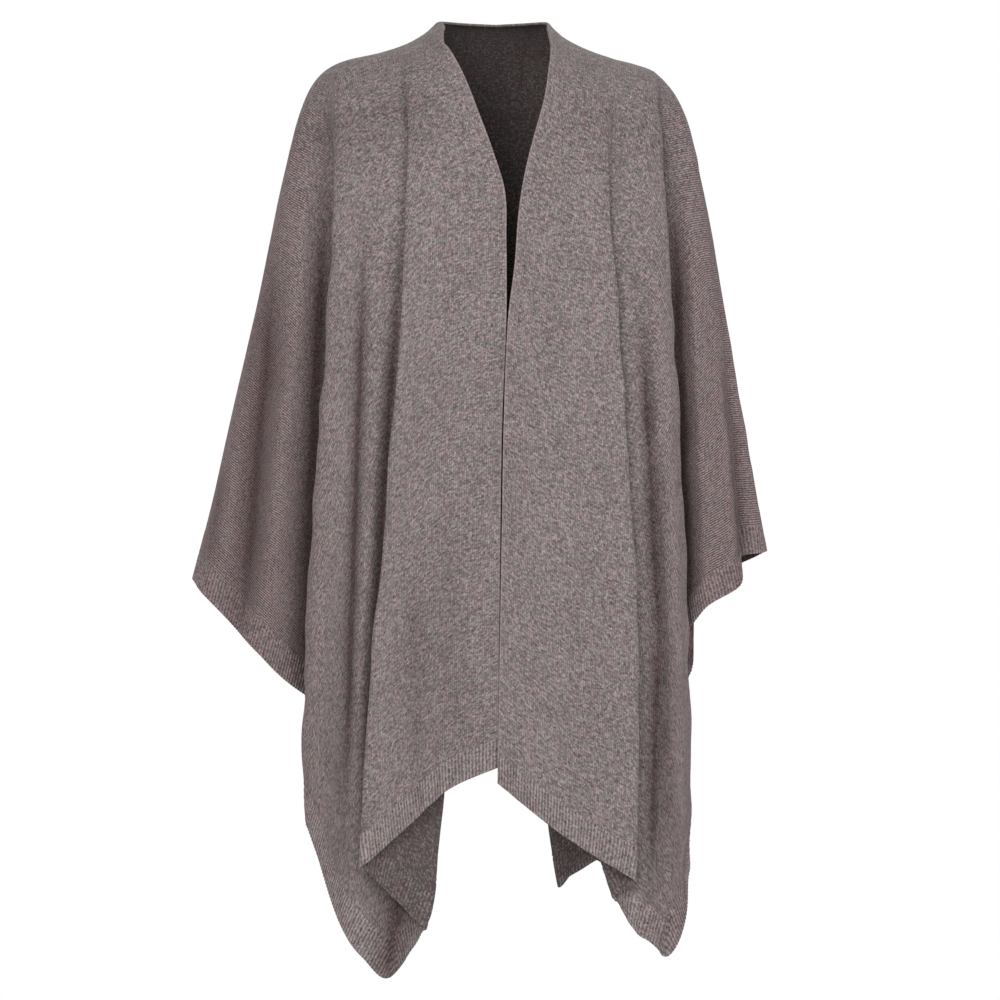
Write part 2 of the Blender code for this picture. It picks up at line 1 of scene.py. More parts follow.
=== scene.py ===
"""A cashmere wrap: an open-front ruana in heathered fine knit, in the form it takes when worn.

The panels and bands lie on the same fan of drape lines as the wrap's solids, drawn much finer,
with the small creases, the ribs, the linked seams and the marled yarn added. X points to the
wearer's left, -Y is the front and Z is up. Metres in the scene, millimetres in the tables.
"""

import math
from collections import namedtuple

import bpy
import numpy as np
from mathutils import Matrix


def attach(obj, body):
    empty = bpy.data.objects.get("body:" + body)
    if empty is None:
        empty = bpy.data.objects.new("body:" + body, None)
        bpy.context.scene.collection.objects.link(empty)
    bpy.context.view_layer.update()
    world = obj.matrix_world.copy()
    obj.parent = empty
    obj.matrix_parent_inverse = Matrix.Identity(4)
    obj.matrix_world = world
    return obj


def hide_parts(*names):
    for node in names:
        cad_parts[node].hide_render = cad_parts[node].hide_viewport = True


bl_info = {
    "name": "Cashmere Wrap",
    "version": (1, 0, 0),
    "blender": (4, 5, 0),
    "location": "3D View > Sidebar > Wrap",
    "description": "Builds an open-front knitted wrap with ribbed bands, and a plain studio round it",
    "category": "Add Mesh",
}

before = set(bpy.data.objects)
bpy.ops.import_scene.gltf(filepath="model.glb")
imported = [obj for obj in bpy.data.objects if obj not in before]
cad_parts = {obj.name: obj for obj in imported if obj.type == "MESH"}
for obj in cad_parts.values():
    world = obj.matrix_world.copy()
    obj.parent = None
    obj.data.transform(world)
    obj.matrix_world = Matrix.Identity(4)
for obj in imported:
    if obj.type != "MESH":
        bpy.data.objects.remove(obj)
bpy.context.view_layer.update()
BODY = "root"

MM = 0.001
OVER_SHOULDER = 1.25         # cloth used in going over the shoulder, as a share of its depth
SHOULDER_DROP = 0.60         # how far the cloth falls meanwhile, as a share of its depth
MOST_DROP = 0.4              # and at most, as a share of the whole fall
TURN_FROM, TURN_TO = 0.02, 0.5       # least and most of a drape line that goes over the shoulder
LEAST_FALL = 0.02            # metres; keeps the share small on the shortest lines
FRONT_GAP = 0.0016           # between the two front edges, where they meet
GAP_GROWS = 4                # the gap is whole a quarter of the way down
EDGE_GROWS = 12              # and the edge follows its own line from a twelfth of the way down
EDGE_LINES = 3               # drape lines over which that fades out
NEAR = 0.0012                # how far apart the places are that a slope is taken from
FINE_LINES = 6000            # drape lines in each quarter's look-up tables
SOFTEN = 0.22                # how far the cloth's rounding reaches along the rows of a table
HALVINGS = 30                # steps in finding a place on the cloth
COURSE_STEPS = 401           # places along a course, for lengths as worn
COURSES = 61                 # heights at which those are measured
TUCK = 0.0008                # how far a panel's edge goes into the linked seam of a band
BACK_MAP = 2.0               # puts the back's place on the knit map apart from the fronts'


def rows(kind, table):
    """The rows of a table, each with the columns' names of its kind."""
    return [kind(*row) for row in table]


# The shoulder and arm line: outward from the middle, up from the shoulder, back from the arm's plane
Ridge = namedtuple("Ridge", "outward up back")
ARM_RIGHT = rows(Ridge, [
    (62.9, 41.0, 12), (77.0, 28.6, 9), (98.1, 16.7, 6), (127.6, 6.9, 3),
    (163.9, -1.5, 0), (183.7, -10.7, 0), (198.4, -25.3, 0), (209.3, -47.3, 0),
    (218.5, -83.6, 0), (233.2, -138.6, 0), (244.2, -196.9, 0),
    (256.7, -262.4, 0), (293.7, -418.0, 0), (311.9, -496.1, 0),
    (331.9, -571.2, 0),
])
ARM_LEFT = rows(Ridge, [
    (58.9, 39.4, 12), (72.0, 26.5, 9), (94.2, 13.8, 6), (127.6, 1.1, 3),
    (152.0, -5.4, 0), (175.6, -15.0, 0), (193.6, -34.0, 0), (206.6, -61.6, 0),
    (212.6, -90.9, 0), (225.2, -148.0, 0), (242.7, -232.0, 0),
    (257.3, -309.0, 0), (279.2, -440.0, 0), (292.2, -511.0, 0),
    (298.1, -540.5, 0),
])
# The back of the neck, from the neck point round to the middle of the nape
NAPE_RIGHT = rows(Ridge, [(62.9, 41.0, 12), (57.0, 42.5, 42), (34.0, 41.5, 64), (0, 40.0, 71)])
NAPE_LEFT = rows(Ridge, [(58.9, 39.4, 12), (54.0, 42.0, 42), (33.0, 41.5, 64), (0, 40.0, 71)])

# The plain front edges: how far outward of the middle at each height
Edge = namedtuple("Edge", "up outward")
EDGE_RIGHT = rows(Edge, [
    (29.7, 64.5), (16.5, 56.1), (8.8, 49.0), (-23.1, 32.1), (-61.6, 16.9),
    (-102, 1.8), (-147, -11.7), (-198, -13.2), (-289, -13.2), (-398, -8.8),
    (-484, -7.2), (-776, -4.2),
])
EDGE_LEFT = rows(Edge, [
    (27.5, 61.5), (-4.4, 59.4), (-43.5, 53.8), (-80.3, 43.7), (-112, 35.2),
    (-144, 28.6), (-178, 24.2), (-225, 20.8), (-289, 13.2), (-398, 8.8),
    (-484, 7.2), (-793, 2.0),
])

# One row for each drape line that shapes a fold.
# reach: where it starts, 0 at the neck point and 1 at the wrist (-1 at the middle of the nape)
# depth: how far it comes forward of the arm's plane, or behind it, just under the shoulder
# x and y: outward and depth, a third of the way down, two thirds down, and at the bottom edge
# drop: how far the bottom is below the shoulder
Line = namedtuple("Line", "name reach depth third_x third_y low_x low_y x y drop")
FRONT_RIGHT = rows(Line, [
    ("front_edge", 0, 82, -13, 117, -7, 121, -4.2, 119, 776),
    ("panel", 0.030, 90, 42, 121, 46, 124, 50, 122, 799),
    ("soft_trough", 0.050, 92, 74, 121, 86, 117, 88, 113, 834),
    ("pleat_edge_front", 0.064, 93, 97, 119, 120, 120, 140, 117, 881),
    ("pleat_edge_back", 0.070, 93, 97, 112, 120, 108, 140, 104, 889),
    ("pleat_inside_front", 0.076, 92, 74, 108, 55, 98, 80, 92, 950),
    ("pleat_inside_back", 0.082, 92, 74, 101, 55, 86, 81, 80, 958),
    ("corner", 0.092, 91, 108, 102, 116, 82, 115, 78, 1009),
    ("strip", 0.112, 90, 128, 103, 143, 92, 141, 88, 988),
    ("crease", 0.134, 88, 145, 98, 161, 84, 166, 80, 957),
    ("second_strip", 0.156, 84, 162, 97, 180, 92, 190, 90, 885),
    ("side_edge_front", 0.173, 80, 177, 92, 197, 88, 204, 84, 846),
    ("side_edge_back", 0.181, 76, 180, 80, 200, 70, 205, 66, 830),
    ("valley_front", 0.190, 70, 166, 64, 160, 38, 174, 22, 766),
    ("valley_back", 0.199, 68, 168, 56, 162, 28, 178, 9, 722),
    ("valley_wall", 0.211, 66, 197, 65, 214, 59, 227, 58, 684),
    ("sleeve_crest", 0.234, 64, 214, 70, 236, 72, 262, 74, 649),
    ("sleeve_trough", 0.286, 56, 236, 56, 258, 46, 286, 38, 623),
    ("sleeve_outer", 0.404, 46, 254, 44, 284, 44, 314, 36, 594),
    ("arm_side", 0.628, 24, 286, 26, 306, 28, 324, 22, 583),
    ("cuff_side", 0.865, 10, 314, 12, 322, 14, 329, 10, 575),
    ("wrist", 1, 0, 332, 0, 332, 0, 331.9, 0, 571.2),
])
FRONT_LEFT = rows(Line, [
    ("front_edge", 0, 82, 24, 120, 7, 124, 2.0, 122, 793),
    ("panel", 0.035, 90, 60, 123, 54, 126, 55, 125, 836),
    ("outer_panel", 0.070, 93, 100, 119, 102, 121, 104, 118, 870),
    ("pleat_edge_front", 0.098, 92, 127, 113, 147, 112, 148, 108, 896),
    ("pleat_edge_back", 0.104, 92, 131, 107, 148, 101, 148, 96, 903),
    ("pleat_inside_front", 0.110, 91, 112, 103, 82, 99, 133, 87, 915),
    ("pleat_inside_back", 0.116, 91, 113, 96, 82, 86, 133, 77, 921),
    ("strip", 0.128, 90, 146, 97, 152, 84, 152, 78, 955),
    ("side_trough", 0.139, 89, 160, 92, 175, 74, 173, 74, 970),
    ("corner", 0.154, 87, 172, 94, 190, 82, 189, 80, 985),
    ("side_crest", 0.168, 84, 183, 92, 200, 88, 206, 84, 955),
    ("side_edge_front", 0.182, 80, 191, 86, 206, 80, 210, 78, 900),
    ("side_edge_back", 0.192, 75, 192, 74, 207, 64, 210, 62, 872),
    ("valley_front", 0.201, 70, 168, 62, 162, 38, 158, 20, 772),
    ("valley_back", 0.210, 68, 170, 54, 164, 28, 161, 8, 696),
    ("valley_wall", 0.222, 66, 199, 61, 212, 54, 214, 55, 622),
    ("sleeve_crest", 0.245, 64, 214, 64, 226, 66, 234, 68, 599),
    ("sleeve_lobe", 0.297, 56, 232, 54, 248, 56, 261, 60, 584),
    ("lobe_lip", 0.333, 50, 238, 48, 258, 48, 271, 48, 572),
    ("cuff_valley", 0.362, 46, 240, 42, 257, 36, 269, 30, 547),
    ("sleeve_outer", 0.435, 40, 250, 34, 272, 30, 285, 24, 543),
    ("arm_side", 0.652, 24, 266, 24, 283, 22, 293, 13, 542),
    ("cuff_side", 0.870, 9, 285, 10, 291, 10, 296, 6, 541),
    ("wrist", 1, 0, 298, 0, 298, 0, 298.1, 0, 540.5),
])
BACK_RIGHT = rows(Line, [
    ("centre_back", -1, 98, 0, 112, 0, 96, 0, 100, 758),
    ("panel", -0.40, 97, 50, 111, 50, 100, 48, 104, 782),
    ("outer_panel", 0.020, 95, 82, 108, 90, 97, 96, 98, 822),
    ("pleat_edge_front", 0.064, 93, 108, 104, 125, 99, 134, 100, 858),
    ("pleat_edge_back", 0.070, 93, 110, 98, 126, 89, 134, 88, 866),
    ("pleat_inside_front", 0.076, 92, 86, 94, 63, 82, 76, 76, 934),
    ("pleat_inside_back", 0.084, 91, 86, 87, 63, 69, 77, 64, 944),
    ("corner", 0.098, 90, 118, 88, 118, 66, 120, 60, 985),
    ("strip", 0.112, 88, 132, 92, 142, 76, 148, 74, 962),
    ("crease", 0.134, 86, 146, 86, 160, 68, 166, 66, 930),
    ("second_strip", 0.156, 83, 160, 88, 178, 80, 186, 78, 870),
    ("side_edge_front", 0.173, 79, 174, 84, 192, 78, 198, 74, 830),
    ("side_edge_back", 0.181, 75, 177, 74, 195, 62, 198, 58, 812),
    ("valley_front", 0.190, 70, 164, 62, 160, 38, 180, 24, 758),
    ("valley_back", 0.199, 68, 166, 54, 162, 28, 184, 11, 716),
    ("valley_wall", 0.211, 66, 195, 62, 211, 56, 223, 56, 678),
    ("sleeve_crest", 0.234, 63, 213, 68, 234, 70, 258, 70, 642),
    ("sleeve_trough", 0.286, 56, 236, 56, 257, 46, 284, 38, 615),
    ("sleeve_outer", 0.404, 46, 254, 44, 284, 44, 313, 34, 588),
    ("arm_side", 0.628, 24, 286, 26, 306, 28, 324, 20, 578),
    ("cuff_side", 0.865, 10, 314, 12, 322, 14, 329, 9, 573),
    ("wrist", 1, 0, 332, 0, 332, 0, 331.9, 0, 571.2),
])
BACK_LEFT = rows(Line, [
    ("centre_back", -1, 98, 0, 112, 0, 96, 0, 100, 758),
    ("panel", -0.40, 97, 50, 111, 50, 100, 48, 103, 780),
    ("outer_panel", 0.030, 95, 86, 107, 92, 97, 98, 97, 820),
    ("pleat_edge_front", 0.085, 92, 120, 102, 138, 96, 146, 94, 856),
    ("pleat_edge_back", 0.092, 92, 121, 96, 138, 86, 146, 83, 863),
    ("pleat_inside_front", 0.098, 91, 95, 92, 60, 80, 74, 72, 905),
    ("pleat_inside_back", 0.106, 90, 95, 86, 60, 67, 75, 60, 911),
    ("hem_rise", 0.120, 89, 124, 88, 122, 68, 110, 60, 876),
    ("corner", 0.138, 88, 150, 92, 165, 74, 176, 66, 950),
    ("crease", 0.152, 86, 164, 86, 180, 68, 190, 64, 925),
    ("second_strip", 0.166, 83, 175, 86, 192, 79, 198, 76, 885),
    ("side_edge_front", 0.180, 79, 184, 82, 201, 75, 205, 71, 842),
    ("side_edge_back", 0.190, 75, 187, 74, 202, 62, 206, 60, 814),
    ("valley_front", 0.199, 70, 167, 61, 162, 38, 174, 24, 770),
    ("valley_back", 0.207, 68, 169, 53, 164, 28, 177, 13, 720),
    ("rear_lobe", 0.218, 66, 197, 60, 209, 50, 217, 46, 676),
    ("rear_lobe_side", 0.231, 65, 207, 64, 217, 62, 216, 64, 630),
    ("sleeve_crest", 0.252, 64, 217, 66, 226, 67, 228, 68, 594),
    ("sleeve_trough", 0.300, 56, 232, 58, 247, 54, 256, 52, 562),
    ("sleeve_outer", 0.435, 40, 250, 38, 272, 34, 284, 27, 548),
    ("arm_side", 0.652, 24, 266, 24, 283, 20, 293, 12, 543),
    ("cuff_side", 0.870, 9, 285, 10, 291, 9, 296, 5, 541),
    ("wrist", 1, 0, 298, 0, 298, 0, 298.1, 0, 540.5),
])

# Small creases, as seen from the front or, for a back quarter, from behind.
# x and up: the two ends, outward and above the shoulder
# width: half the crease's width
# raise_mm: how far it stands out, or below 0, how deep it is; 0 on the shoulders, where the row only paints
# shade on the tops, which face away from the light
# first and last: the drape lines between which the cloth carries it
# shade: how much painted shade the cloth gets along it, most at the bottom of a deep fold and under the
# layers in front, from 0 to 1
Crease = namedtuple("Crease", "x up to_x to_up width raise_mm first last shade", defaults=(0.0,))
CREASE_ENDS = 0.3            # share of a crease's length over which each end dies out
CREASE_CORE = 0.28           # width of a crease's core of painted shade, as a share of the crease's
WIDE_SHADE, CORE_SHADE = 0.80, 0.45  # how much painted shade the crease gets across its width, and in its core besides
CREASES = {
    "front_right": rows(Crease, [
        (30, -35, 235, -95, 32, 0, 0, 21, 0.26),
        (30, -120, 34, -720, 16, 1.6, 0, 2.6),
        (58, -150, 62, -790, 11, -1.8, 0, 2.9),
        (89, -540, 84, -840, 12, -2.6, 0, 3.2, 0.28),
        (52, -470, 46, -830, 30, -1.2, 0, 2.6, 0.18),
        (74, -330, 70, -640, 10, 1.4, 0, 2.9),
        (112, -560, 128, -850, 8, 2.0, 2, 3.4),
        (142, -60, 140, -230, 14, -2.2, 8, 11),
        (127, -260, 134, -700, 7, 2.0, 7.6, 9.2),
        (99, -140, 150, -930, 6.5, -2.4, 6.5, 8.4, 0.90),
        (141, -140, 167, -890, 5.5, -2.8, 8.3, 10, 0.95),
        (172, -330, 183, -820, 8, -1.6, 9.4, 11.4),
        (185, -100, 212, -760, 10, -1.5, 14.1, 15.9, 1.0),
        (96, -880, 124, -1030, 17, -1.0, 6.2, 8, 0.80),
        (238, -180, 283, -680, 12, -3.4, 15.6, 18.8, 0.75),
        (228, -330, 240, -600, 8, 2.2, 14.5, 17.5),
        (268, -400, 292, -590, 9, 1.8, 16.5, 20),
        (296, -430, 316, -570, 8, -1.6, 17, 20.6, 0.35),
    ]),
    "front_left": rows(Crease, [
        (30, -35, 230, -105, 30, 0, 0, 21, 0.16),
        (40, -190, 36, -760, 15, 1.6, 0, 1.9),
        (72, -120, 74, -810, 12, -1.7, 0, 2.5),
        (98, -300, 112, -840, 11, 1.6, 1, 3),
        (124, -420, 128, -700, 8, -1.8, 1.6, 3.2),
        (163, -100, 165, -330, 14, -2.0, 7, 11),
        (159, -240, 183, -720, 6, -3.0, 6.5, 9.4, 0.78),
        (180, -560, 171, -940, 6, -2.0, 6.5, 9.4, 0.80),
        (189, -420, 196, -900, 7, 1.6, 8.8, 10.6),
        (195, -100, 216, -690, 9, -1.5, 14.1, 15.9, 0.95),
        (241, -300, 274, -590, 7, -2.0, 17.4, 20.4, 0.65),
        (214, -200, 224, -590, 10, 2.0, 14.6, 17),
        (228, -300, 242, -590, 8, -2.2, 15, 18),
        (246, -330, 262, -560, 7, 2.2, 16.6, 19),
        (264, -400, 278, -540, 8, -1.4, 18, 21),
    ]),
    "back_right": rows(Crease, [
        (24, -140, 20, -730, 17, 1.8, 0, 1.4),
        (62, -120, 70, -780, 13, -2.0, 0.6, 2.4),
        (96, -200, 104, -820, 9, 1.8, 1.6, 3),
        (112, -160, 141, -880, 6, -2.2, 6.5, 8.2, 0.70),
        (141, -140, 166, -880, 5, -1.8, 8.4, 9.9, 0.55),
        (184, -120, 208, -700, 8, -1.5, 14.1, 15.8, 0.85),
        (150, -70, 148, -260, 15, -2.2, 8, 11),
        (172, -330, 183, -800, 8, -1.6, 9.4, 11.4),
        (240, -230, 280, -630, 11, -2.8, 15.6, 18.6, 0.55),
        (228, -330, 240, -600, 8, 2.2, 14.5, 17.5),
        (268, -400, 292, -590, 9, 1.8, 16.5, 20),
    ]),
    "back_left": rows(Crease, [
        (34, -180, 32, -740, 15, -1.8, 0, 1.6),
        (74, -120, 80, -790, 12, 1.8, 0.8, 2.6),
        (110, -260, 126, -820, 10, -1.8, 1.8, 3),
        (124, -160, 152, -880, 6, -2.2, 6.5, 8, 0.70),
        (162, -140, 190, -880, 5, -1.8, 8.4, 9.8, 0.55),
        (190, -120, 213, -660, 8, -1.5, 14.1, 15.8, 0.85),
        (163, -100, 165, -330, 14, -2.0, 7, 11),
        (189, -420, 196, -860, 7, 1.6, 8.8, 10.6),
        (230, -240, 256, -590, 10, -2.6, 16.6, 18.8, 0.50),
        (246, -330, 260, -550, 8, 2.0, 17, 20),
    ]),
}

# Slow waves that keep the cloth from lying dead even: along and down their length, height, turn
Wave = namedtuple("Wave", "along down height turn")
WAVES = [
    Wave(0.071, 0.43, 0.55, 0.4), Wave(0.049, 0.31, 0.40, 2.1), Wave(0.113, 0.27, 0.65, 4.0),
    Wave(0.034, 0.52, 0.28, 5.2), Wave(0.160, 0.61, 0.70, 1.3),
]
HEM_WAVE = Wave(0.058, 0.0, 2.4, 0.7)
HEM_WAVE_REACH = 0.11        # how far above the hem the ripple dies out
WAVE_LEAN, LEAN_LENGTH = 0.35, 0.13  # how far the waves lean to and fro, and over what length
QUIET_TOP = 0.05             # metres below the top line in which creases and waves grow
QUIET_EDGE, EDGE_SHARE = 0.02, 0.25  # and beside the middle, where they start from this share


def number(name, description, default, unit="LENGTH"):
    """A property with one number, by default a length in metres."""
    return bpy.props.FloatProperty(name=name, description=description, default=default, unit=unit)


def colour(name, description, red, green, blue):
    """A property with an opaque colour."""
    return bpy.props.FloatVectorProperty(
        name=name, description=description, subtype="COLOR", size=4, default=(red, green, blue, 1.0))


class WrapSizes(bpy.types.PropertyGroup):
    """The sizes that the wrap is knitted and linked to."""

    flat_width: number("Flat width", "Across both arms, laid flat", 1.42)
    flat_length: number("Flat length", "From hem to hem, laid flat", 1.62)
    band_depth: number("Band depth", "Depth of the ribbed bands", 0.030)
    jersey_thickness: number("Jersey thickness", "Thickness of the panels", 0.0018)
    rib_thickness: number("Rib thickness", "Thickness of the bands", 0.0023)
    rib_pitch: number("Rib pitch", "From one rib to the next", 0.0040)
    rib_height: number("Rib height", "How far a rib stands off the band's middle", 0.0005)
    edge_bead: number("Edge bead", "Extra thickness of the finished front edges", 0.0009)


class WrapColours(bpy.types.PropertyGroup):
    """The colours of the yarn's fibres and of the floor."""

    marl_dark: colour("Dark fibre", "Darkest fibres of the marl", 0.080, 0.059, 0.058)
    marl_body: colour("Body fibre", "Main colour of the marl", 0.190, 0.156, 0.157)
    marl_light: colour("Light fibre", "Palest fibres of the marl", 0.370, 0.310, 0.304)
    marl_blue: colour("Blue-grey fibre", "Cool fibres in the marl", 0.165, 0.180, 0.183)
    floor: colour("Floor", "Colour of the floor", 0.82, 0.82, 0.81)


class WrapStage(bpy.types.PropertyGroup):
    """The studio: where the camera stands and how strong the lights are."""

    camera_distance: number("Camera distance", "From the camera to the wrap", 14.0)
    camera_height: number("Camera height", "Above the shoulders", -0.484)
    picture_width: number("Picture width", "What the picture spans at the wrap", 1.100)
    floor_height: number("Floor height", "Above the shoulders", -1.42)
    key_power: number("Key light", "Power of the main light", 54.0, "POWER")
    fill_power: number("Fill light", "Power of the soft light from the other side", 34.0, "POWER")
    back_power: number("Back light", "Power of the soft light behind the wrap", 34.0, "POWER")
    room_light: number("Room light", "Strength of the light from all round", 0.64, "NONE")


def smooth(knots, values, at, always_rising=False):
    """A cubic curve through the values at the knots. Its slope at a knot is that from the knot
    before to the knot after, or, for values that always rise, the harmonic mean of the slopes on
    its two sides, so that the curve always rises too."""
    knots = np.asarray(knots, float)
    values = np.asarray(values, float)
    chords = np.diff(values) / np.diff(knots)
    slopes = np.empty_like(values)
    slopes[1:-1] = (values[2:] - values[:-2]) / (knots[2:] - knots[:-2])
    if always_rising:
        slopes[1:-1] = 2 * chords[1:] * chords[:-1] / (chords[1:] + chords[:-1])
    slopes[0] = chords[0]
    slopes[-1] = chords[-1]
    at = np.clip(at, knots[0], knots[-1])
    left = np.clip(np.searchsorted(knots, at, side="right") - 1, 0, len(knots) - 2)
    span = knots[left + 1] - knots[left]
    part = (at - knots[left]) / span
    start = values[left] * (1 + 2 * part) * (1 - part) ** 2 + slopes[left] * span * part * (1 - part) ** 2
    end = values[left + 1] * part**2 * (3 - 2 * part) - slopes[left + 1] * span * part**2 * (1 - part)
    return start + end


def softened(values, step, reach):
    """A weighted mean of the values on each side, by a bell curve as wide as reach. Past its ends
    the run of values is carried on by turning it about the end point."""
    radius = int(round(3 * reach / step))
    bell = np.exp(-0.5 * (np.arange(-radius, radius + 1) * step / reach) ** 2)
    before = 2 * values[0] - values[radius:0:-1]
    after = 2 * values[-1] - values[-2:-radius - 2:-1]
    return np.convolve(np.concatenate([before, values, after]), bell / bell.sum(), mode="valid")


def cubic_weights(down):
    """The four weights of the cubic through the values at 0, a third, two thirds and 1."""
    third, low = down - 1 / 3, down - 2 / 3
    return (-4.5 * third * low * (down - 1), 13.5 * down * low * (down - 1),
            -13.5 * down * third * (down - 1), 4.5 * down * third * low)


class TopLine:
    """The line that a quarter hangs from: the arm line or the back of the neck. Its points are read
    by their share of its length."""

    def __init__(self, points):
        self.points = np.array(points, float) * MM
        steps = np.linalg.norm(np.diff(self.points, axis=0), axis=1)
        self.knots = np.concatenate([[0], np.cumsum(steps)]) / steps.sum()

    def at(self, share):
        return [smooth(self.knots, column, share) for column in self.points.T]


class Quarter:
    """A quarter of the cloth. line counts along the rows of its table, and down runs 0 to 1."""

    def __init__(self, name, lines, arm, side, face, nape=None, edge=None, before=None):
        sizes = bpy.context.scene.wrap_sizes
        self.name = name
        self.side = side
        self.face = face
        self.half_width = sizes.flat_width / 2
        self.half_length = sizes.flat_length / 2
        self.table = ([before] if before else []) + lines
        self.first = len(self.table) - len(lines)
        self.last = len(self.table) - 1
        self.arm = TopLine(arm)
        self.nape = TopLine(nape) if nape else None
        self.edge = edge
        self.corner = [line.name for line in self.table].index("corner")
        self.look_up()
        self.measure_bottom()
        self.measure_courses()

    def look_up(self):
        """Reads each column of the table at many places between its rows, and softens the lot."""
        rows = np.arange(len(self.table), dtype=float)
        self.all_lines = np.linspace(0, self.last, FINE_LINES)
        step = self.all_lines[1]
        self.columns = {}
        for name in Line._fields[1:]:
            values = np.array([getattr(row, name) for row in self.table], float)
            if name == "reach":
                self.columns[name] = smooth(rows, values, self.all_lines, always_rising=True)
            else:
                self.columns[name] = softened(smooth(rows, values, self.all_lines), step, SOFTEN) * MM
        reach = self.columns["reach"]
        outward, up, back = self.arm.at(np.clip(reach, 0, 1))
        if self.nape:
            behind = self.nape.at(np.clip(-reach, 0, 1))
            outward, up, back = (np.where(reach < 0, b, a) for a, b in zip((outward, up, back), behind))
        self.columns.update(top=outward, up=up, back=back * (1 if self.nape else -1))

    def value(self, name, line):
        return np.interp(line, self.all_lines, self.columns[name])

    def across(self, line, down):
        """Outward: the cubic through the top, a third, two thirds and the bottom of a line."""
        names = ("top", "third_x", "low_x", "x")
        return sum(weight * self.value(name, line) for weight, name in zip(cubic_weights(down), names))

    def point(self, line, down):
        """The cloth at a drape line and a share of the way down it: outward, depth and height.

        depth: the cubic through the line's depths, times the sine of an angle that turns from 0 to
        a right angle while the cloth goes over the shoulder.
        height: falls with one less the cosine of that angle, and then evenly to the bottom.
        """
        line, down = np.broadcast_arrays(np.asarray(line, float), np.asarray(down, float))
        names = ("depth", "third_y", "low_y", "y")
        depth = sum(weight * self.value(name, line) for weight, name in zip(cubic_weights(down), names))
        up = self.value("up", line)
        shoulder = self.value("depth", line)
        fall = up + self.value("drop", line)
        turn_share = np.clip(OVER_SHOULDER * shoulder / np.maximum(fall, LEAST_FALL), TURN_FROM, TURN_TO)
        angle = np.clip(down / turn_share, 0, 1) * np.pi / 2
        turn_drop = np.minimum(SHOULDER_DROP * shoulder, MOST_DROP * fall)
        after = np.clip((down - turn_share) / (1 - turn_share), 0, 1)
        z = up - turn_drop * (1 - np.cos(angle)) - (fall - turn_drop) * after
        y = depth * np.sin(angle) + self.value("back", line) * (1 - np.sin(angle))
        x = self.across(line, down)
        if self.edge:
            x = x + self.edge_shift(line, down, z)
        return x, y, z

    def edge_shift(self, line, down, z):
        """Brings the first line to the plain front edge, and fades to nothing over the next ones."""
        heights = [point.up * MM for point in self.edge][::-1]
        outward = [point.outward * MM for point in self.edge][::-1]
        wanted = smooth(heights, outward, z)
        plain = self.across(np.full_like(line, float(self.first)), down)
        fade = np.clip(1 - (line - self.first) / EDGE_LINES, 0, 1) ** 2
        clear = FRONT_GAP / 2 * np.clip(down * GAP_GROWS, 0, 1)
        return (wanted - plain + clear) * fade * np.clip(down * EDGE_GROWS, 0, 1)

    def measure_bottom(self):
        """Where each drape line starts and ends on the flat cloth. The hem runs from the middle to the
        corner, and the side edge from the corner to the wrist, each by its length along the bottom."""
        self.fine = np.linspace(self.first, self.last, FINE_LINES)
        bottom = np.stack(self.point(self.fine, 1.0), axis=1)
        length = np.concatenate([[0], np.cumsum(np.linalg.norm(np.diff(bottom, axis=0), axis=1))])
        at_corner = np.interp(self.corner, self.fine, length)
        self.end_s = np.clip(length / at_corner, 0, 1) * self.half_width
        self.end_t = np.clip((length[-1] - length) / (length[-1] - at_corner), 0, 1) * self.half_length
        self.hem_length, self.side_length = at_corner, length[-1] - at_corner
        reach = self.value("reach", self.fine)
        self.start_s = (reach - reach[0]) / (reach[-1] - reach[0]) * self.half_width

    def measure_courses(self):
        """How far along the cloth, as worn, each place is from the middle, at each height of the
        flat cloth: the lengths of many short steps along the course, added up."""
        self.course_s = np.linspace(0, self.half_width, COURSE_STEPS)
        self.course_t = np.linspace(0, self.half_length, COURSES)
        places = self.plain(self.course_s[:, None], self.course_t[None, :])[0]
        steps = np.linalg.norm(np.diff(places, axis=0), axis=-1)
        self.worn = np.concatenate([np.zeros((1, COURSES)), np.cumsum(steps, axis=0)])

    def worn_at(self, s, t):
        """The worn distance from the middle, between the places measured."""
        across = np.clip(s / self.half_width, 0, 1) * (COURSE_STEPS - 1)
        down = np.clip(t / self.half_length, 0, 1) * (COURSES - 1)
        column = np.minimum(across.astype(int), COURSE_STEPS - 2)
        row = np.minimum(down.astype(int), COURSES - 2)
        across, down = across - column, down - row
        near = self.worn[column, row] * (1 - across) + self.worn[column + 1, row] * across
        far = self.worn[column, row + 1] * (1 - across) + self.worn[column + 1, row + 1] * across
        return near * (1 - down) + far * down

    def ends(self, line):
        """Where a drape line starts, how far along the cloth it ends, and how far down."""
        return [np.interp(line, self.fine, values) for values in (self.start_s, self.end_s, self.end_t)]

    def on_cloth(self, s, t):
        """The drape line and share down of the point s from the middle and t from the shoulder on
        the flat cloth, found by halving: the point lies left of one line and right of another."""
        s, t = np.broadcast_arrays(np.asarray(s, float), np.asarray(t, float))
        low = np.full(s.shape, float(self.first))
        high = np.full(s.shape, float(self.last))
        for _ in range(HALVINGS):
            middle = (low + high) / 2
            start, end, fall = self.ends(middle)
            beyond = (end - start) * t - fall * (s - start) < 0
            low = np.where(beyond, middle, low)
            high = np.where(beyond, high, middle)
        line = (low + high) / 2
        start, end, fall = self.ends(line)
        down = np.hypot(s - start, t) / np.maximum(np.hypot(end - start, fall), 1e-9)
        return line, np.clip(down, 0, 1)

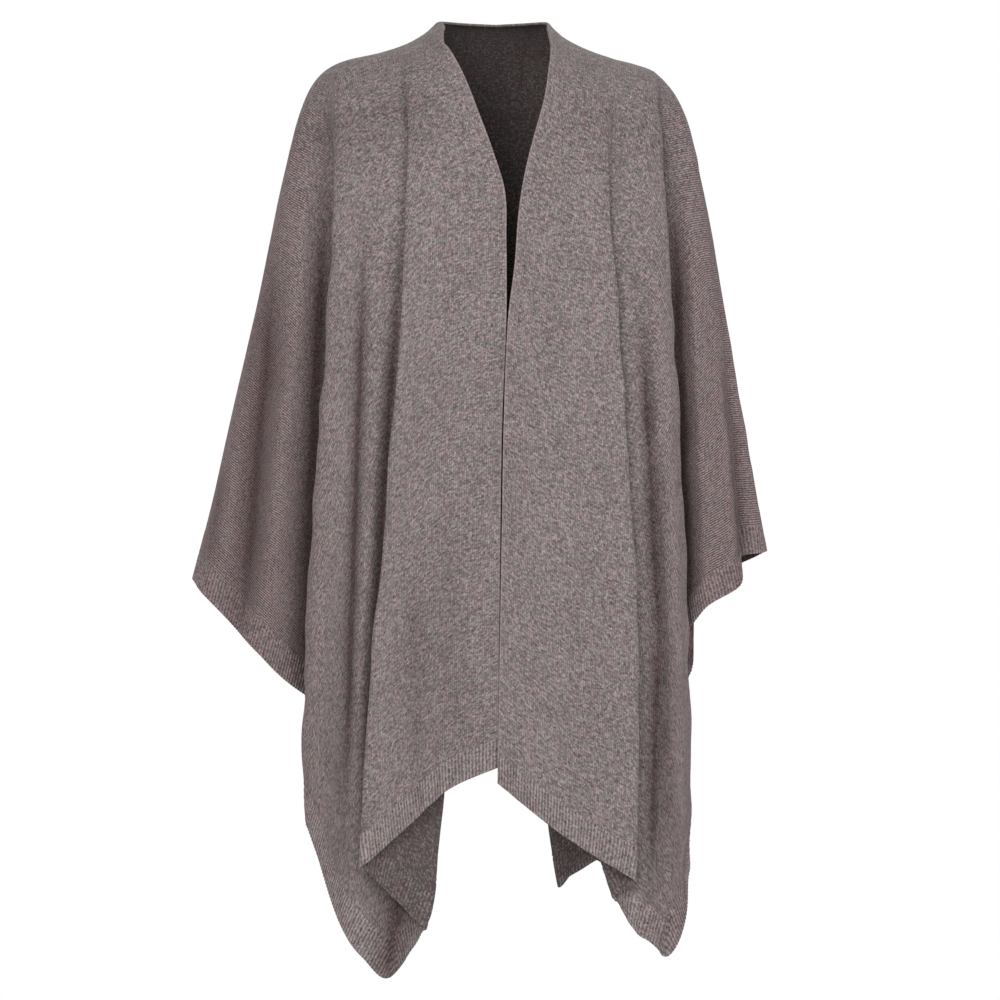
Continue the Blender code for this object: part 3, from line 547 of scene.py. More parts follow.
    def creasing(self, s, t, line, x, z):
        """How far the cloth stands out of its plain form, in metres: a bell across each crease, which
        fades towards the crease's ends, and the slow waves. Also how much painted shade the creases
        lay on the cloth there."""
        out, shade = np.zeros_like(x), np.zeros_like(x)
        for crease in CREASES[self.name]:
            run = np.array([crease.to_x - crease.x, crease.to_up - crease.up]) * MM
            length = np.hypot(*run)
            from_x, from_z = x - crease.x * MM, z - crease.up * MM
            along = (from_x * run[0] + from_z * run[1]) / length**2
            aside = (from_x * run[1] - from_z * run[0]) / length
            ends = np.clip(along / CREASE_ENDS, 0, 1) * np.clip((1 - along) / CREASE_ENDS, 0, 1)
            ends = ends * ends * (3 - 2 * ends)
            place = line - self.first
            carries = np.clip((place - crease.first) * 2 + 0.5, 0, 1) * np.clip(
                (crease.last - place) * 2 + 0.5, 0, 1)
            bell = np.exp(-0.5 * (aside / (crease.width * MM)) ** 2) * ends * carries
            out += crease.raise_mm * MM * bell
            core = np.exp(-0.5 * (aside / (CREASE_CORE * crease.width * MM)) ** 2) * ends * carries
            # painted shade along the crease, deepest in its core
            shade = np.maximum(shade, crease.shade * (WIDE_SHADE * bell + CORE_SHADE * core))
        for number, wave in enumerate(WAVES):
            lean = WAVE_LEAN * math.sin(number + self.side + 2 * self.face)
            angle = s / wave.along + t / wave.down + lean * np.sin(t / LEAN_LENGTH + number)
            out += wave.height * MM * np.sin(2 * np.pi * angle + wave.turn + self.side)
        to_hem = np.clip(1 - (self.half_length - t) / HEM_WAVE_REACH, 0, 1) ** 2
        out += HEM_WAVE.height * MM * to_hem * np.sin(2 * np.pi * s / HEM_WAVE.along + HEM_WAVE.turn)
        return out * np.clip(t / QUIET_TOP, 0, 1) * np.clip(s / QUIET_EDGE, EDGE_SHARE, 1), shade

    def plain(self, s, t):
        """The plain form in the scene, at places on the flat cloth."""
        line, down = self.on_cloth(np.clip(s, 0, self.half_width), np.clip(t, 0, self.half_length))
        x, y, z = self.point(line, down)
        return np.stack([x * self.side, y * self.face, z], axis=-1), line, x, z

    def outward(self, s, t):
        """The unit direction out of the cloth, from the slopes along and down it. On the arm line
        the slope down is straight forward or back, and on the middle of the back the slope along
        is straight across, so that neighbours share one direction."""
        along = self.plain(s + NEAR, t)[0] - self.plain(s - NEAR, t)[0]
        fall = self.plain(s, t + NEAR)[0] - self.plain(s, t - NEAR)[0]
        fall = np.where((t < NEAR)[..., None], np.array([0.0, self.face, 0.0]), fall)
        if self.nape:
            along = np.where((s < NEAR)[..., None], np.array([self.side, 0.0, 0.0]), along)
        out = np.cross(fall, along) * -self.side * self.face
        return out / np.maximum(np.linalg.norm(out, axis=-1, keepdims=True), 1e-12)

    def surface(self, s, t):
        """The creased cloth's points and outward directions, in the scene, and the painted shade of its
        creases.
        """
        s, t = np.broadcast_arrays(np.asarray(s, float), np.asarray(t, float))
        places, line, x, z = self.plain(s, t)
        out = self.outward(s, t)
        raised, shade = self.creasing(s, t, line, x, z)
        return places + out * raised[..., None], out, shade


def quarters():
    """The four quarters of the cloth, by name."""
    def mirrored(line):
        return line._replace(reach=-2 - line.reach, third_x=-line.third_x, low_x=-line.low_x, x=-line.x)

    return {
        "front_right": Quarter("front_right", FRONT_RIGHT, ARM_RIGHT, -1, -1, edge=EDGE_RIGHT),
        "front_left": Quarter("front_left", FRONT_LEFT, ARM_LEFT, 1, -1, edge=EDGE_LEFT),
        "back_right": Quarter("back_right", BACK_RIGHT, ARM_RIGHT, -1, 1, nape=NAPE_RIGHT,
                              before=mirrored(BACK_LEFT[1])),
        "back_left": Quarter("back_left", BACK_LEFT, ARM_LEFT, 1, 1, nape=NAPE_LEFT,
                             before=mirrored(BACK_RIGHT[1])),
    }


PANEL_STEPS = 9              # faces between two rows of a table, on the panels
PANEL_ROWS = 110             # and faces down a drape line
PANEL_CROWDING = 1.35        # above 1, the faces are smaller near the shoulder
RIB_STEPS = 6                # faces across one rib
# Where a band's faces meet, as shares of its depth from the seam, closest beside the bead
BAND_ACROSS = (0.0, 0.02, 0.045, 0.07, 0.10, 0.18, 0.35, 0.60, 0.85, 0.96, 1.0)
# Extra drape lines beside the front edge, and extra rows under the top line, for the rolled edges
EDGE_STATIONS = (0.012, 0.026, 0.042, 0.060, 0.085)
RIM_STATIONS = (0.0007, 0.0015, 0.0025, 0.0038)
LENGTHWISE_STRETCH = 1.08    # the knit hangs a little longer than it lies flat
NECK_STRETCH = 1.05          # the same beside the neck
HAIR = 1e-9                  # allows for rounding
RIM_MIDDLE, RIM_WIDTH = 0.0008, 0.0013       # a finished edge's roll: metres from the edge, half width
RIB_FLATNESS = 0.35          # how flat the tops of the ribs are
RIBS_FROM, RIBS_GROW = 0.0015, 0.003         # metres from the seam in which the ribs rise
BEAD_HEIGHT, BEAD_MIDDLE, BEAD_WIDTH = 0.0005, 0.0011, 0.0008       # the linked seam's bead
TIGHT_SHARE, TIGHT_MIDDLE, TIGHT_WIDTH = 0.45, 0.0026, 0.0011       # the groove drawn in beside it
THIN_SHARE, THIN_FROM = 0.25, 0.93           # how the band's outer edge thins, from this share across
SHARP_FROM = math.radians(65)


def panel_grid(quarter, band):
    """A panel: drape lines from the top line to the seam of the bands. It gives the points, the
    outward directions, half the thickness, the places on the knit map, the rim and the painted
    crease shade."""
    sizes = bpy.context.scene.wrap_sizes
    whole = np.linspace(0, 1, (quarter.last - quarter.first) * PANEL_STEPS + 1)
    lines = quarter.first + (quarter.last - quarter.first) * whole
    extra = [] if quarter.nape else quarter.first + np.array(EDGE_STATIONS)
    lines = np.unique(np.concatenate([lines, extra, [quarter.corner]]))
    start, end, fall = quarter.ends(lines)
    to_hem = (quarter.half_length - band) / np.maximum(fall, 1e-6)
    to_side = (quarter.half_width - band - start) / np.maximum(end - start, 1e-6)
    share = np.clip(np.minimum(to_hem, to_side), 0, 1)
    seam_s = np.minimum(start + (end - start) * share, quarter.half_width - band)
    seam_t = np.minimum(fall * share, quarter.half_length - band)
    inside = share > 0
    turn = np.searchsorted(seam_s >= quarter.half_width - band - HAIR, True)
    seam_s = np.insert(seam_s[inside], turn, quarter.half_width - band)
    seam_t = np.insert(seam_t[inside], turn, quarter.half_length - band)
    seam_s = np.append(seam_s, quarter.half_width - band)
    seam_t = np.append(seam_t, 0.0)
    line, _ = quarter.on_cloth(seam_s, seam_t)
    top_s = quarter.ends(line)[0]
    on_side = seam_s >= quarter.half_width - band - HAIR
    end_s = np.where(on_side, seam_s + TUCK, seam_s)
    end_t = np.where(seam_t >= quarter.half_length - band - HAIR, seam_t + TUCK, seam_t)
    shares = np.linspace(0, 1, PANEL_ROWS + 1) ** PANEL_CROWDING
    shares = np.unique(np.concatenate([shares, RIM_STATIONS]))[None, :]
    s = top_s[:, None] + (end_s - top_s)[:, None] * shares
    t = end_t[:, None] * shares
    points, out, shade = quarter.surface(s, t)
    worn = quarter.worn_at(s, t)
    neck_s = np.interp(0, quarter.value("reach", quarter.fine), quarter.start_s) if quarter.nape else 0
    from_edge = t * NECK_STRETCH + np.clip(s - neck_s, 0, 1) if quarter.nape else worn
    rim = np.exp(-((from_edge - RIM_MIDDLE) / RIM_WIDTH) ** 2)
    half = (sizes.jersey_thickness + sizes.edge_bead * rim) / 2
    past_valley = line > [row.name for row in quarter.table].index("valley_back")
    along = np.where(past_valley[:, None], worn - quarter.worn_at(quarter.half_width, t), worn)
    middle = BACK_MAP if quarter.nape else 0.0
    return points, out, half, middle + quarter.side * along, t * LENGTHWISE_STRETCH, rim, shade


def rib_wave(ribs):
    """The height of the ribs, from -1 to 1, so many ribs along the band: a wave with flat tops."""
    wave = np.cos(2 * np.pi * ribs)
    return wave * (1 + RIB_FLATNESS - RIB_FLATNESS * wave * wave)


def band_half(across, ribs):
    """The band's middle surface stands off its plain form by the ribs, which start at the seam and
    run to the edge, and by the linked seam's bead beside the panel."""
    sizes = bpy.context.scene.wrap_sizes
    from_seam = across * sizes.band_depth
    grow = np.clip((from_seam - RIBS_FROM) / RIBS_GROW, 0, 1)
    ribs = sizes.rib_height * ribs * grow * (3 - 2 * grow) * grow
    bead = BEAD_HEIGHT * np.exp(-((from_seam - BEAD_MIDDLE) / BEAD_WIDTH) ** 2)
    tight = 1 - TIGHT_SHARE * np.exp(-((from_seam - TIGHT_MIDDLE) / TIGHT_WIDTH) ** 2)
    edge = 1 - THIN_SHARE * np.clip((across - THIN_FROM) / (1 - THIN_FROM), 0, 1) ** 2
    return ribs, (sizes.rib_thickness * tight * edge) / 2 + bead / 2


def hem_grid(quarter):
    """The rib along the hem, between the middle and the side band."""
    sizes = bpy.context.scene.wrap_sizes
    length = quarter.half_width - sizes.band_depth
    count = int(round(quarter.hem_length * length / quarter.half_width / sizes.rib_pitch))
    ribs = np.linspace(0, count, count * RIB_STEPS + 1)[:, None]
    across = np.array(BAND_ACROSS)[None, :]
    s = np.broadcast_to(ribs / count * length, (ribs.size, across.size)).copy()
    s[-1] += TUCK
    t = np.broadcast_to(quarter.half_length - sizes.band_depth * (1 - across), s.shape)
    return band_wall(quarter, s, t, across, ribs)


def side_grid(quarter):
    """The rib along the side edge, from the hem's bottom corner up to the arm line."""
    sizes = bpy.context.scene.wrap_sizes
    count = int(round(quarter.side_length / sizes.rib_pitch))
    ribs = np.linspace(0, count, count * RIB_STEPS + 1)[:, None]
    across = np.array(BAND_ACROSS)[None, :]
    t = np.broadcast_to(quarter.half_length * (1 - ribs / count), (ribs.size, across.size))
    s = np.broadcast_to(quarter.half_width - sizes.band_depth * (1 - across), t.shape)
    return band_wall(quarter, s, t, across, ribs)


def band_wall(quarter, s, t, across, ribs):
    """A band's points, moved out by the ribs, with all that make_cloth needs of them."""
    sizes = bpy.context.scene.wrap_sizes
    points, out, shade = quarter.surface(s, t)
    raised, half = band_half(across, rib_wave(ribs))
    middle = BACK_MAP if quarter.nape else 0.0
    along = np.broadcast_to(middle + quarter.side * ribs * sizes.rib_pitch, s.shape)
    down = np.broadcast_to(across * sizes.band_depth, s.shape)
    half, rim = np.broadcast_to(half, s.shape), np.zeros(s.shape)
    return points + out * raised[..., None], out, half, along, down, rim, shade


def make_cloth(name, grids, material):
    """A closed wall on one grid, or on two that share their first column.

    Each face of the wall stands half the thickness off the points, along the outward directions,
    and a rim joins the two faces round the border. The UV map holds each point's distances along
    and down the knit, in metres. Of its attributes, edge_rim is 1 on the finished edges, reverse
    is 1 inside, and crease_shade is how much painted shade the creases get."""
    stacks = [np.stack([*np.moveaxis(points, -1, 0), *np.moveaxis(out, -1, 0), *rest])
              for points, out, *rest in grids]
    if len(stacks) == 2:
        stacks = [np.concatenate([stacks[0][:, :0:-1], stacks[1]], axis=1)]
    values = stacks[0]
    points, out = np.moveaxis(values[:3], 0, -1), np.moveaxis(values[3:6], 0, -1)
    half, along, down, rim_share, shade = values[6:]
    columns, rows = half.shape
    sheets = [(points + face * out * half[..., None]).reshape(-1, 3) for face in (1, -1)]
    number = np.arange(columns * rows).reshape(columns, rows)
    quads = np.stack([number[:-1, :-1], number[:-1, 1:], number[1:, 1:], number[1:, :-1]], axis=-1)
    quads = quads.reshape(-1, 4)
    ring = np.concatenate([number[0, :-1], number[:-1, -1], number[-1, :0:-1], number[:0:-1, 0]])
    after = np.roll(ring, -1)
    other = columns * rows
    rim = np.stack([ring, ring + other, after + other, after], axis=-1)
    faces = np.concatenate([quads, quads[:, ::-1] + other, rim])
    if np.einsum("i,i", np.cross(sheets[0][quads[0, 1]] - sheets[0][quads[0, 0]],
                                 sheets[0][quads[0, 3]] - sheets[0][quads[0, 0]]), out.reshape(-1, 3)[0]) < 0:
        faces = faces[:, ::-1]
    mesh = bpy.data.meshes.new(name)
    mesh.from_pydata(np.concatenate(sheets), [], faces)
    flat = np.stack([along.ravel(), down.ravel()], axis=-1)
    flat = np.concatenate([flat, flat])
    corner_vertices = np.empty(len(mesh.loops), dtype=np.int32)
    mesh.loops.foreach_get("vertex_index", corner_vertices)
    layer = mesh.uv_layers.new(name="knit")
    layer.uv.foreach_set("vector", flat[corner_vertices].astype(np.float32).ravel())
    for label, share in (("edge_rim", np.tile(rim_share.ravel(), 2)),
                         ("crease_shade", np.tile(shade.ravel(), 2)),
                         ("reverse", np.repeat([0.0, 1.0], other))):
        mesh.attributes.new(label, "FLOAT", "POINT").data.foreach_set("value", share.astype(np.float32))
    mesh.validate(clean_customdata=False)
    mesh.materials.append(material)
    mesh.shade_smooth()
    mesh.set_sharp_from_angle(angle=SHARP_FROM)
    piece = bpy.data.objects.new(name, mesh)
    bpy.context.scene.collection.objects.link(piece)
    return piece


class Wiring:
    """Short ways to add shader nodes to a material."""

    def __init__(self, material):
        material.use_nodes = True
        self.tree = material.node_tree
        self.shader = self.tree.nodes["Principled BSDF"]

    def add(self, kind, **settings):
        node = self.tree.nodes.new(kind)
        for key, value in settings.items():
            setattr(node, key, value)
        return node

    def join(self, out, into):
        self.tree.links.new(out, into)

    def math(self, operation, first, second=None):
        node = self.add("ShaderNodeMath", operation=operation)
        for socket, value in zip(node.inputs, (first, second)):
            if isinstance(value, bpy.types.NodeSocket):
                self.join(value, socket)
            elif value is not None:
                socket.default_value = value
        return node.outputs[0]

    def total(self, first, *others):
        """The sum of sockets and numbers."""
        for other in others:
            first = self.math("ADD", first, other)
        return first

    def swing(self, value, strength):
        """How far a value is from its middle of a half, times a strength."""
        return self.math("MULTIPLY", self.math("SUBTRACT", value, 0.5), strength)

    def mix(self, share, first, second, blend="MIX"):
        node = self.add("ShaderNodeMix", data_type="RGBA", blend_type=blend)
        sockets = (node.inputs["Factor"], node.inputs[6], node.inputs[7])
        for socket, value in zip(sockets, (share, first, second)):
            if isinstance(value, bpy.types.NodeSocket):
                self.join(value, socket)
            else:
                socket.default_value = value
        return node.outputs[2]

    def noise(self, vector, scale, detail, roughness=0.5):
        node = self.add("ShaderNodeTexNoise", noise_dimensions="3D")
        node.inputs["Scale"].default_value = scale
        node.inputs["Detail"].default_value = detail
        node.inputs["Roughness"].default_value = roughness
        self.join(vector, node.inputs["Vector"])
        return node.outputs["Fac"]

    def stretch(self, vector, scale):
        node = self.add("ShaderNodeVectorMath", operation="MULTIPLY")
        self.join(vector, node.inputs[0])
        node.inputs[1].default_value = scale
        return node.outputs[0]

    def patches(self, vector, kind):
        """A noise stretched to the patches' sizes."""
        scaled = self.stretch(vector, (kind.along, kind.down, 0.0))
        return self.noise(scaled, 1.0, kind.detail, kind.roughness)

    def ramp(self, value, low, high):
        node = self.add("ShaderNodeMapRange", interpolation_type="SMOOTHSTEP")
        self.join(value, node.inputs["Value"])
        node.inputs["From Min"].default_value = low
        node.inputs["From Max"].default_value = high
        return node.outputs["Result"]


WALE_PITCH = 2.5             # millimetres from one column of stitches to the next
COURSE_PITCH = 1.9           # and from one row of stitches to the next
STITCH_RELIEF = 0.45         # how far the stitches stand out, in millimetres
BUMP_STRENGTH = 0.6
LEG_LEAN = 1.2               # courses that a leg rises from the wale's middle to its edge
ROUND_SHARE, LOOP_SHARE, FUZZ_SHARE = 0.5, 0.22, 0.8     # what the leg, the loop and the nap add
WOBBLE, WOBBLE_SCALE = 0.9, 0.22     # how far the wales stray, in wales, and how often in a millimetre
FLECK = 0.42                 # flecks in a millimetre
FLECK_CONTRAST = 1.7         # how far each of these moves the tone
STITCH_CONTRAST = 0.55
STREAK_CONTRAST = 0.9
CLOUD_CONTRAST = 0.25
# painted shade in the grooves between the columns of stitches, with paler crests
WALE_SHADE = 0.10
STRETCHED_WALE_SHADE = 0.46  # more of that painted groove shade, added over the arms, where the stitches are drawn open
# painted shade in the grooves between the ribs, with paler tops
RIB_SHADE = 0.24
RIB_LIFT = 0.09              # painted highlight: the rib knit is made paler all over, for the light that the ribs' round tops catch
REVERSE_SHADE = 0.50         # the purl side is darker, partly its own look and partly painted shade for the inner layers, which lie in shadow
RIM_PALENESS = 0.32          # the finished edges are paler
ARM_FROM, ARM_TO = 0.150, 0.250      # metres outward, between which the panel becomes the sleeve
BLUE_FROM, BLUE_TO, BLUE_SHARE = 0.50, 0.68, 0.55    # where the blue-grey fibres show, and how much
HUE_FROM, HUE_TO = 0.38, 0.62        # where the warm tint gives way to the cool one
ARM_PAINTED_SHADE = (0.84, 0.765, 0.775, 1.0)         # painted shade: the sleeves, which face away from the light, are made darker and redder
# the colour that the painted shade of the creases multiplies the yarn by
CREASE_PAINTED_SHADE = (0.36, 0.30, 0.30, 1.0)
WARM_TINT, COOL_TINT = (1.04, 0.985, 0.985, 1.0), (0.96, 1.01, 1.0, 1.0)
YARN_SURFACE = {
    "Roughness": 0.95, "Specular IOR Level": 0.15, "Sheen Weight": 0.12, "Sheen Roughness": 0.5,
    "Sheen Tint": (0.86, 0.80, 0.78, 1.0),
}

# Patches on the knit: how many in a metre along and down it, their detail and their roughness
Patches = namedtuple("Patches", "along down detail roughness")
STREAKS = Patches(110.0, 480.0, 2.0, 0.55)
BLUES = Patches(230.0, 310.0, 2.0, 0.6)
CLOUDS = Patches(13.0, 10.0, 3.0, 0.55)
HUES = Patches(55.0, 80.0, 2.0, 0.6)
FUZZ = Patches(1900.0, 1900.0, 3.0, 0.7)


def knit_material(name, ribbed):
    """Heathered cashmere knit, on the cloth's own map in millimetres.

    Relief: each column of stitches is two legs that lean into a V, and its height is a round
    profile across the leg, with a dip where one stitch goes into the next.
    Colour: each stitch has its own share of dark or pale fibre, flecks run over them, a few are
    blue-grey, and slow clouds and streaks along the rows vary the blend and its hue. Painted shade
    darkens the grooves between the columns, or between the ribs, the sleeves and the creases, and
    the ribs are painted paler for the light on their round tops. The reverse is darker, partly for
    the purl side's own look and partly as painted shade on the inner layers."""
    colours = bpy.context.scene.wrap_colours
    material = bpy.data.materials.new(name)
    w = Wiring(material)
    uv = w.add("ShaderNodeUVMap", uv_map="knit").outputs["UV"]
    millimetres = w.stretch(uv, (1000.0, 1000.0, 0.0))
    parts = w.add("ShaderNodeSeparateXYZ")
    w.join(millimetres, parts.inputs[0])
    along, down = parts.outputs["X"], parts.outputs["Y"]
    pitch = bpy.context.scene.wrap_sizes.rib_pitch / MM if ribbed else WALE_PITCH

    wobble = w.swing(w.noise(millimetres, WOBBLE_SCALE, 2.0), 0.0 if ribbed else WOBBLE)
    wale = w.total(w.math("DIVIDE", along, pitch), wobble, 0.5 if ribbed else 0.0)
    from_middle = w.math("ABSOLUTE", w.math("SUBTRACT", w.math("FRACT", wale), 0.5))
    across = w.math("COSINE", w.math("MULTIPLY", from_middle, 2 * math.pi))
    course = w.total(w.math("DIVIDE", down, COURSE_PITCH), w.math("MULTIPLY", from_middle, LEG_LEAN))
    loop = w.math("SINE", w.math("MULTIPLY", course, 2 * math.pi))
    stitch = w.total(w.math("MULTIPLY", across, ROUND_SHARE), w.math("MULTIPLY", loop, LOOP_SHARE))

    cell = w.add("ShaderNodeCombineXYZ")
    w.join(w.math("FLOOR", w.math("MULTIPLY", wale, 2.0 if ribbed else 1.0)), cell.inputs[0])
    w.join(w.math("FLOOR", course), cell.inputs[1])
    each = w.add("ShaderNodeTexWhiteNoise", noise_dimensions="2D")
    w.join(cell.outputs[0], each.inputs["Vector"])

    tone = w.total(w.swing(w.noise(millimetres, FLECK, 2.0, 0.7), FLECK_CONTRAST),
                   w.swing(each.outputs["Value"], STITCH_CONTRAST),
                   w.swing(w.patches(uv, STREAKS), STREAK_CONTRAST),
                   w.swing(w.patches(uv, CLOUDS), CLOUD_CONTRAST))
    place = w.add("ShaderNodeSeparateXYZ")
    w.join(w.add("ShaderNodeTexCoord").outputs["Object"], place.inputs[0])
    on_arm = w.ramp(w.math("ABSOLUTE", place.outputs["X"]), ARM_FROM, ARM_TO)
    if ribbed:
        # painted highlight and painted groove shade on the ribs
        tone = w.total(tone, RIB_LIFT, w.math("MULTIPLY", across, RIB_SHADE))
    else:
        # painted shade in the grooves between the columns, stronger on the sleeves
        depth = w.total(w.math("MULTIPLY", on_arm, STRETCHED_WALE_SHADE), WALE_SHADE)
        tone = w.total(tone, w.math("MULTIPLY", across, depth))
    reverse, rim, shade = (w.add("ShaderNodeAttribute", attribute_name=label).outputs["Fac"]
                           for label in ("reverse", "edge_rim", "crease_shade"))
    # the reverse is darkened: partly the purl side's own look, partly painted shade on the inner layers
    tone = w.math("SUBTRACT", tone, w.math("MULTIPLY", reverse, REVERSE_SHADE))
    blend = w.add("ShaderNodeValToRGB")
    w.join(w.total(tone, 0.5), blend.inputs["Fac"])
    points = blend.color_ramp.elements
    points[0].color, points[1].color = tuple(colours.marl_dark), tuple(colours.marl_light)
    points.new(0.5).color = tuple(colours.marl_body)
    blue = w.math("MULTIPLY", w.ramp(w.patches(uv, BLUES), BLUE_FROM, BLUE_TO), BLUE_SHARE)
    yarn = w.mix(blue, blend.outputs["Color"], tuple(colours.marl_blue))
    tint = w.mix(w.ramp(w.patches(uv, HUES), HUE_FROM, HUE_TO), WARM_TINT, COOL_TINT)
    yarn = w.mix(1.0, yarn, tint, blend="MULTIPLY")
    # painted shade on the sleeves, which face away from the light
    yarn = w.mix(on_arm, yarn, ARM_PAINTED_SHADE, blend="MULTIPLY")
    yarn = w.mix(w.math("MULTIPLY", rim, RIM_PALENESS), yarn, tuple(colours.marl_light))
    # painted shade in the creases, under the front layers and on the shoulders' tops
    yarn = w.mix(shade, yarn, CREASE_PAINTED_SHADE, blend="MULTIPLY")
    w.join(yarn, w.shader.inputs["Base Color"])

    bump = w.add("ShaderNodeBump")
    bump.inputs["Strength"].default_value = BUMP_STRENGTH
    bump.inputs["Distance"].default_value = STITCH_RELIEF * MM
    w.join(w.total(stitch, w.math("MULTIPLY", w.patches(uv, FUZZ), FUZZ_SHARE)), bump.inputs["Height"])
    w.join(bump.outputs["Normal"], w.shader.inputs["Normal"])
    for socket, value in YARN_SURFACE.items():
        w.shader.inputs[socket].default_value = value
    return material


def add_piece(name, grids, slot, nodes):
    """Makes a piece of cloth in the slot's knit, which is made the first time that it is asked for.
    Ties the piece to the wrap's body, and lets it stand for its solids."""
    knit = slot + "_knit"
    piece = make_cloth(name, grids, bpy.data.materials.get(knit) or knit_material(knit, slot == "rib"))
    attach(piece, BODY)
    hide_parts(*nodes)


class WRAP_OT_front_panels(bpy.types.Operator):
    """Adds the two front panels with their folds and plain front edges"""

    bl_idname = "wrap.front_panels"
    bl_label = "Front Panels"

    def execute(self, context):
        sizes = context.scene.wrap_sizes
        cloth = quarters()
        for name in ("front_right", "front_left"):
            grid = panel_grid(cloth[name], sizes.band_depth)
            add_piece(name + "_panel", [grid], "jersey", [name])
        return {"FINISHED"}


class WRAP_OT_back_panel(bpy.types.Operator):
    """Adds the back panel, from one arm to the other"""

    bl_idname = "wrap.back_panel"
    bl_label = "Back Panel"

    def execute(self, context):
        sizes = context.scene.wrap_sizes
        cloth = quarters()
        grids = [panel_grid(cloth[name], sizes.band_depth) for name in ("back_right", "back_left")]
        add_piece("back_panel", grids, "jersey", ["back"])
        return {"FINISHED"}


class WRAP_OT_hem_bands(bpy.types.Operator):
    """Adds the ribbed bands along the front hems and the back hem"""

    bl_idname = "wrap.hem_bands"
    bl_label = "Hem Bands"

    def execute(self, context):
        cloth = quarters()
        for name in ("front_right", "front_left"):
            add_piece("hem_rib_" + name, [hem_grid(cloth[name])], "rib", ["hem_band_" + name])
        grids = [hem_grid(cloth[name]) for name in ("back_right", "back_left")]
        add_piece("hem_rib_back", grids, "rib", ["hem_band_back"])
        return {"FINISHED"}


class WRAP_OT_side_bands(bpy.types.Operator):
    """Adds the ribbed bands along the side edges, front and back"""

    bl_idname = "wrap.side_bands"
    bl_label = "Side Bands"

    def execute(self, context):
        for name, quarter in quarters().items():
            add_piece("side_rib_" + name, [side_grid(quarter)], "rib", ["side_band_" + name])
        return {"FINISHED"}


class WRAP_OT_declare_cloth(bpy.types.Operator):
    """Does nothing; it only finishes"""

    bl_idname = "wrap.declare_cloth"
    bl_label = "State the Cut"

    def execute(self, context):
        return {"FINISHED"}


# The studio's soft lights. power: the property that holds it
Lamp = namedtuple("Lamp", "name place size colour power")
LAMPS = rows(Lamp, [
    ("key_light", (-0.9, -3.5, 0.7), 1.6, (1.0, 0.98, 0.96), "key_power"),
    ("fill_light", (2.0, -2.9, 0.2), 2.2, (0.96, 0.98, 1.0), "fill_power"),
    ("back_light", (0.6, 3.6, 1.0), 2.2, (1.0, 1.0, 1.0), "back_power"),
])
LIT_MIDDLE = (0.0, 0.0, -0.45)       # what the lights face
FLOOR_SIZE, FLOOR_ROUGHNESS = 6.0, 0.9
WHITE = (1.0, 1.0, 1.0, 1.0)
CAMERA_ASIDE = 0.0055
SENSOR_WIDTH = 36.0                  # millimetres
CLIP_END = 50.0


def add_area_light(lamp, power):
    """A square soft light at its place, facing the middle of the wrap."""
    light = bpy.data.lights.new(lamp.name, "AREA")
    light.shape = "SQUARE"
    light.size = lamp.size
    light.energy = power
    light.color = lamp.colour
    holder = bpy.data.objects.new(lamp.name, light)
    holder.location = lamp.place
    away = np.array(LIT_MIDDLE) - np.array(lamp.place)
    holder.rotation_euler = (math.atan2(math.hypot(away[0], away[1]), -away[2]), 0.0,
                             math.atan2(-away[0], away[1]))
    bpy.context.scene.collection.objects.link(holder)


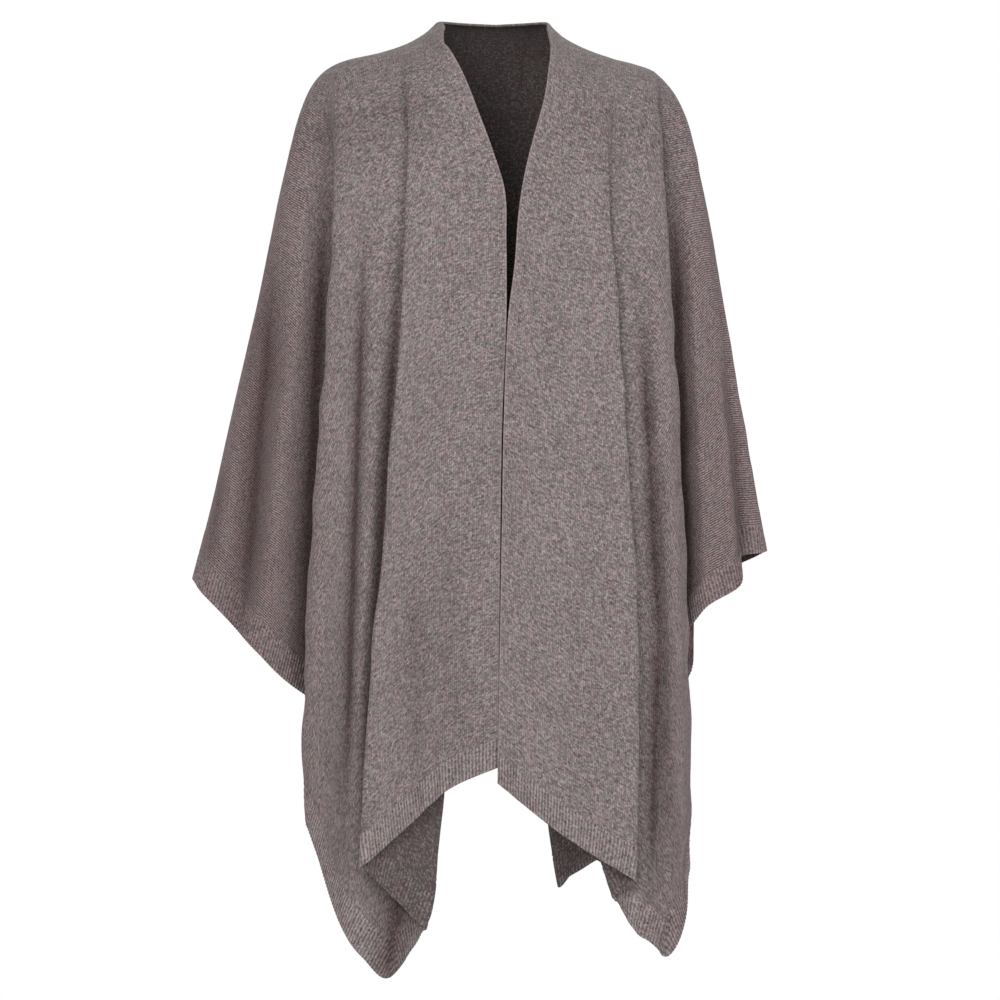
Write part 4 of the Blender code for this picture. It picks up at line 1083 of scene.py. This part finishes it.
class WRAP_OT_stage(bpy.types.Operator):
    """Adds the floor, the soft studio lights and the camera"""

    bl_idname = "wrap.stage"
    bl_label = "Stage"

    def execute(self, context):
        scene = context.scene
        stage = scene.wrap_stage
        bpy.ops.mesh.primitive_plane_add(size=FLOOR_SIZE, location=(0.0, 0.0, stage.floor_height))
        floor = context.active_object
        floor.name = "floor"
        paint = bpy.data.materials.new("floor_paint")
        paint.use_nodes = True
        shader = paint.node_tree.nodes["Principled BSDF"]
        shader.inputs["Base Color"].default_value = tuple(scene.wrap_colours.floor)
        shader.inputs["Roughness"].default_value = FLOOR_ROUGHNESS
        floor.data.materials.append(paint)

        world = bpy.data.worlds.new("studio")
        world.use_nodes = True
        nodes, links = world.node_tree.nodes, world.node_tree.links
        seen, room = nodes["Background"], nodes.new("ShaderNodeBackground")
        for light, strength in ((seen, 1.0), (room, stage.room_light)):
            light.inputs["Color"].default_value = WHITE
            light.inputs["Strength"].default_value = strength
        choose = nodes.new("ShaderNodeMixShader")
        links.new(nodes.new("ShaderNodeLightPath").outputs["Is Camera Ray"], choose.inputs["Fac"])
        links.new(room.outputs[0], choose.inputs[1])
        links.new(seen.outputs[0], choose.inputs[2])
        links.new(choose.outputs[0], nodes["World Output"].inputs["Surface"])
        scene.world = world
        scene.view_settings.view_transform = "Standard"

        for lamp in LAMPS:
            add_area_light(lamp, getattr(stage, lamp.power))

        lens = bpy.data.cameras.new("camera")
        lens.sensor_fit = "HORIZONTAL"
        lens.sensor_width = SENSOR_WIDTH
        lens.lens = lens.sensor_width * stage.camera_distance / stage.picture_width
        lens.clip_end = CLIP_END
        camera = bpy.data.objects.new("camera", lens)
        camera.location = (CAMERA_ASIDE, -stage.camera_distance, stage.camera_height)
        camera.rotation_euler = (math.pi / 2, 0.0, 0.0)
        scene.collection.objects.link(camera)
        scene.camera = camera
        return {"FINISHED"}


class VIEW3D_PT_wrap(bpy.types.Panel):
    """Lists the wrap's sizes, its colours and the steps that build it"""

    bl_label = "Cashmere Wrap"
    bl_space_type = "VIEW_3D"
    bl_region_type = "UI"
    bl_category = "Wrap"

    def draw(self, context):
        for group in (context.scene.wrap_sizes, context.scene.wrap_colours, context.scene.wrap_stage):
            box = self.layout.box()
            for name in group.bl_rna.properties.keys():
                if name not in ("rna_type", "name"):
                    box.prop(group, name)
        for operator in OPERATORS:
            self.layout.operator(operator.bl_idname)


OPERATORS = (WRAP_OT_stage, WRAP_OT_front_panels, WRAP_OT_back_panel, WRAP_OT_hem_bands,
             WRAP_OT_side_bands, WRAP_OT_declare_cloth)
GROUPS = {"wrap_sizes": WrapSizes, "wrap_colours": WrapColours, "wrap_stage": WrapStage}


def register():
    for name, group in GROUPS.items():
        bpy.utils.register_class(group)
        setattr(bpy.types.Scene, name, bpy.props.PointerProperty(type=group))
    for operator in OPERATORS:
        bpy.utils.register_class(operator)
    bpy.utils.register_class(VIEW3D_PT_wrap)


def unregister():
    bpy.utils.unregister_class(VIEW3D_PT_wrap)
    for operator in reversed(OPERATORS):
        bpy.utils.unregister_class(operator)
    for name, group in GROUPS.items():
        delattr(bpy.types.Scene, name)
        bpy.utils.unregister_class(group)


def main():
    """Builds everything in order."""
    register()
    bpy.ops.wrap.stage()
    bpy.ops.wrap.front_panels()
    bpy.ops.wrap.back_panel()
    bpy.ops.wrap.hem_bands()
    bpy.ops.wrap.side_bands()
    bpy.ops.wrap.declare_cloth()


if __name__ == "__main__":
    main()
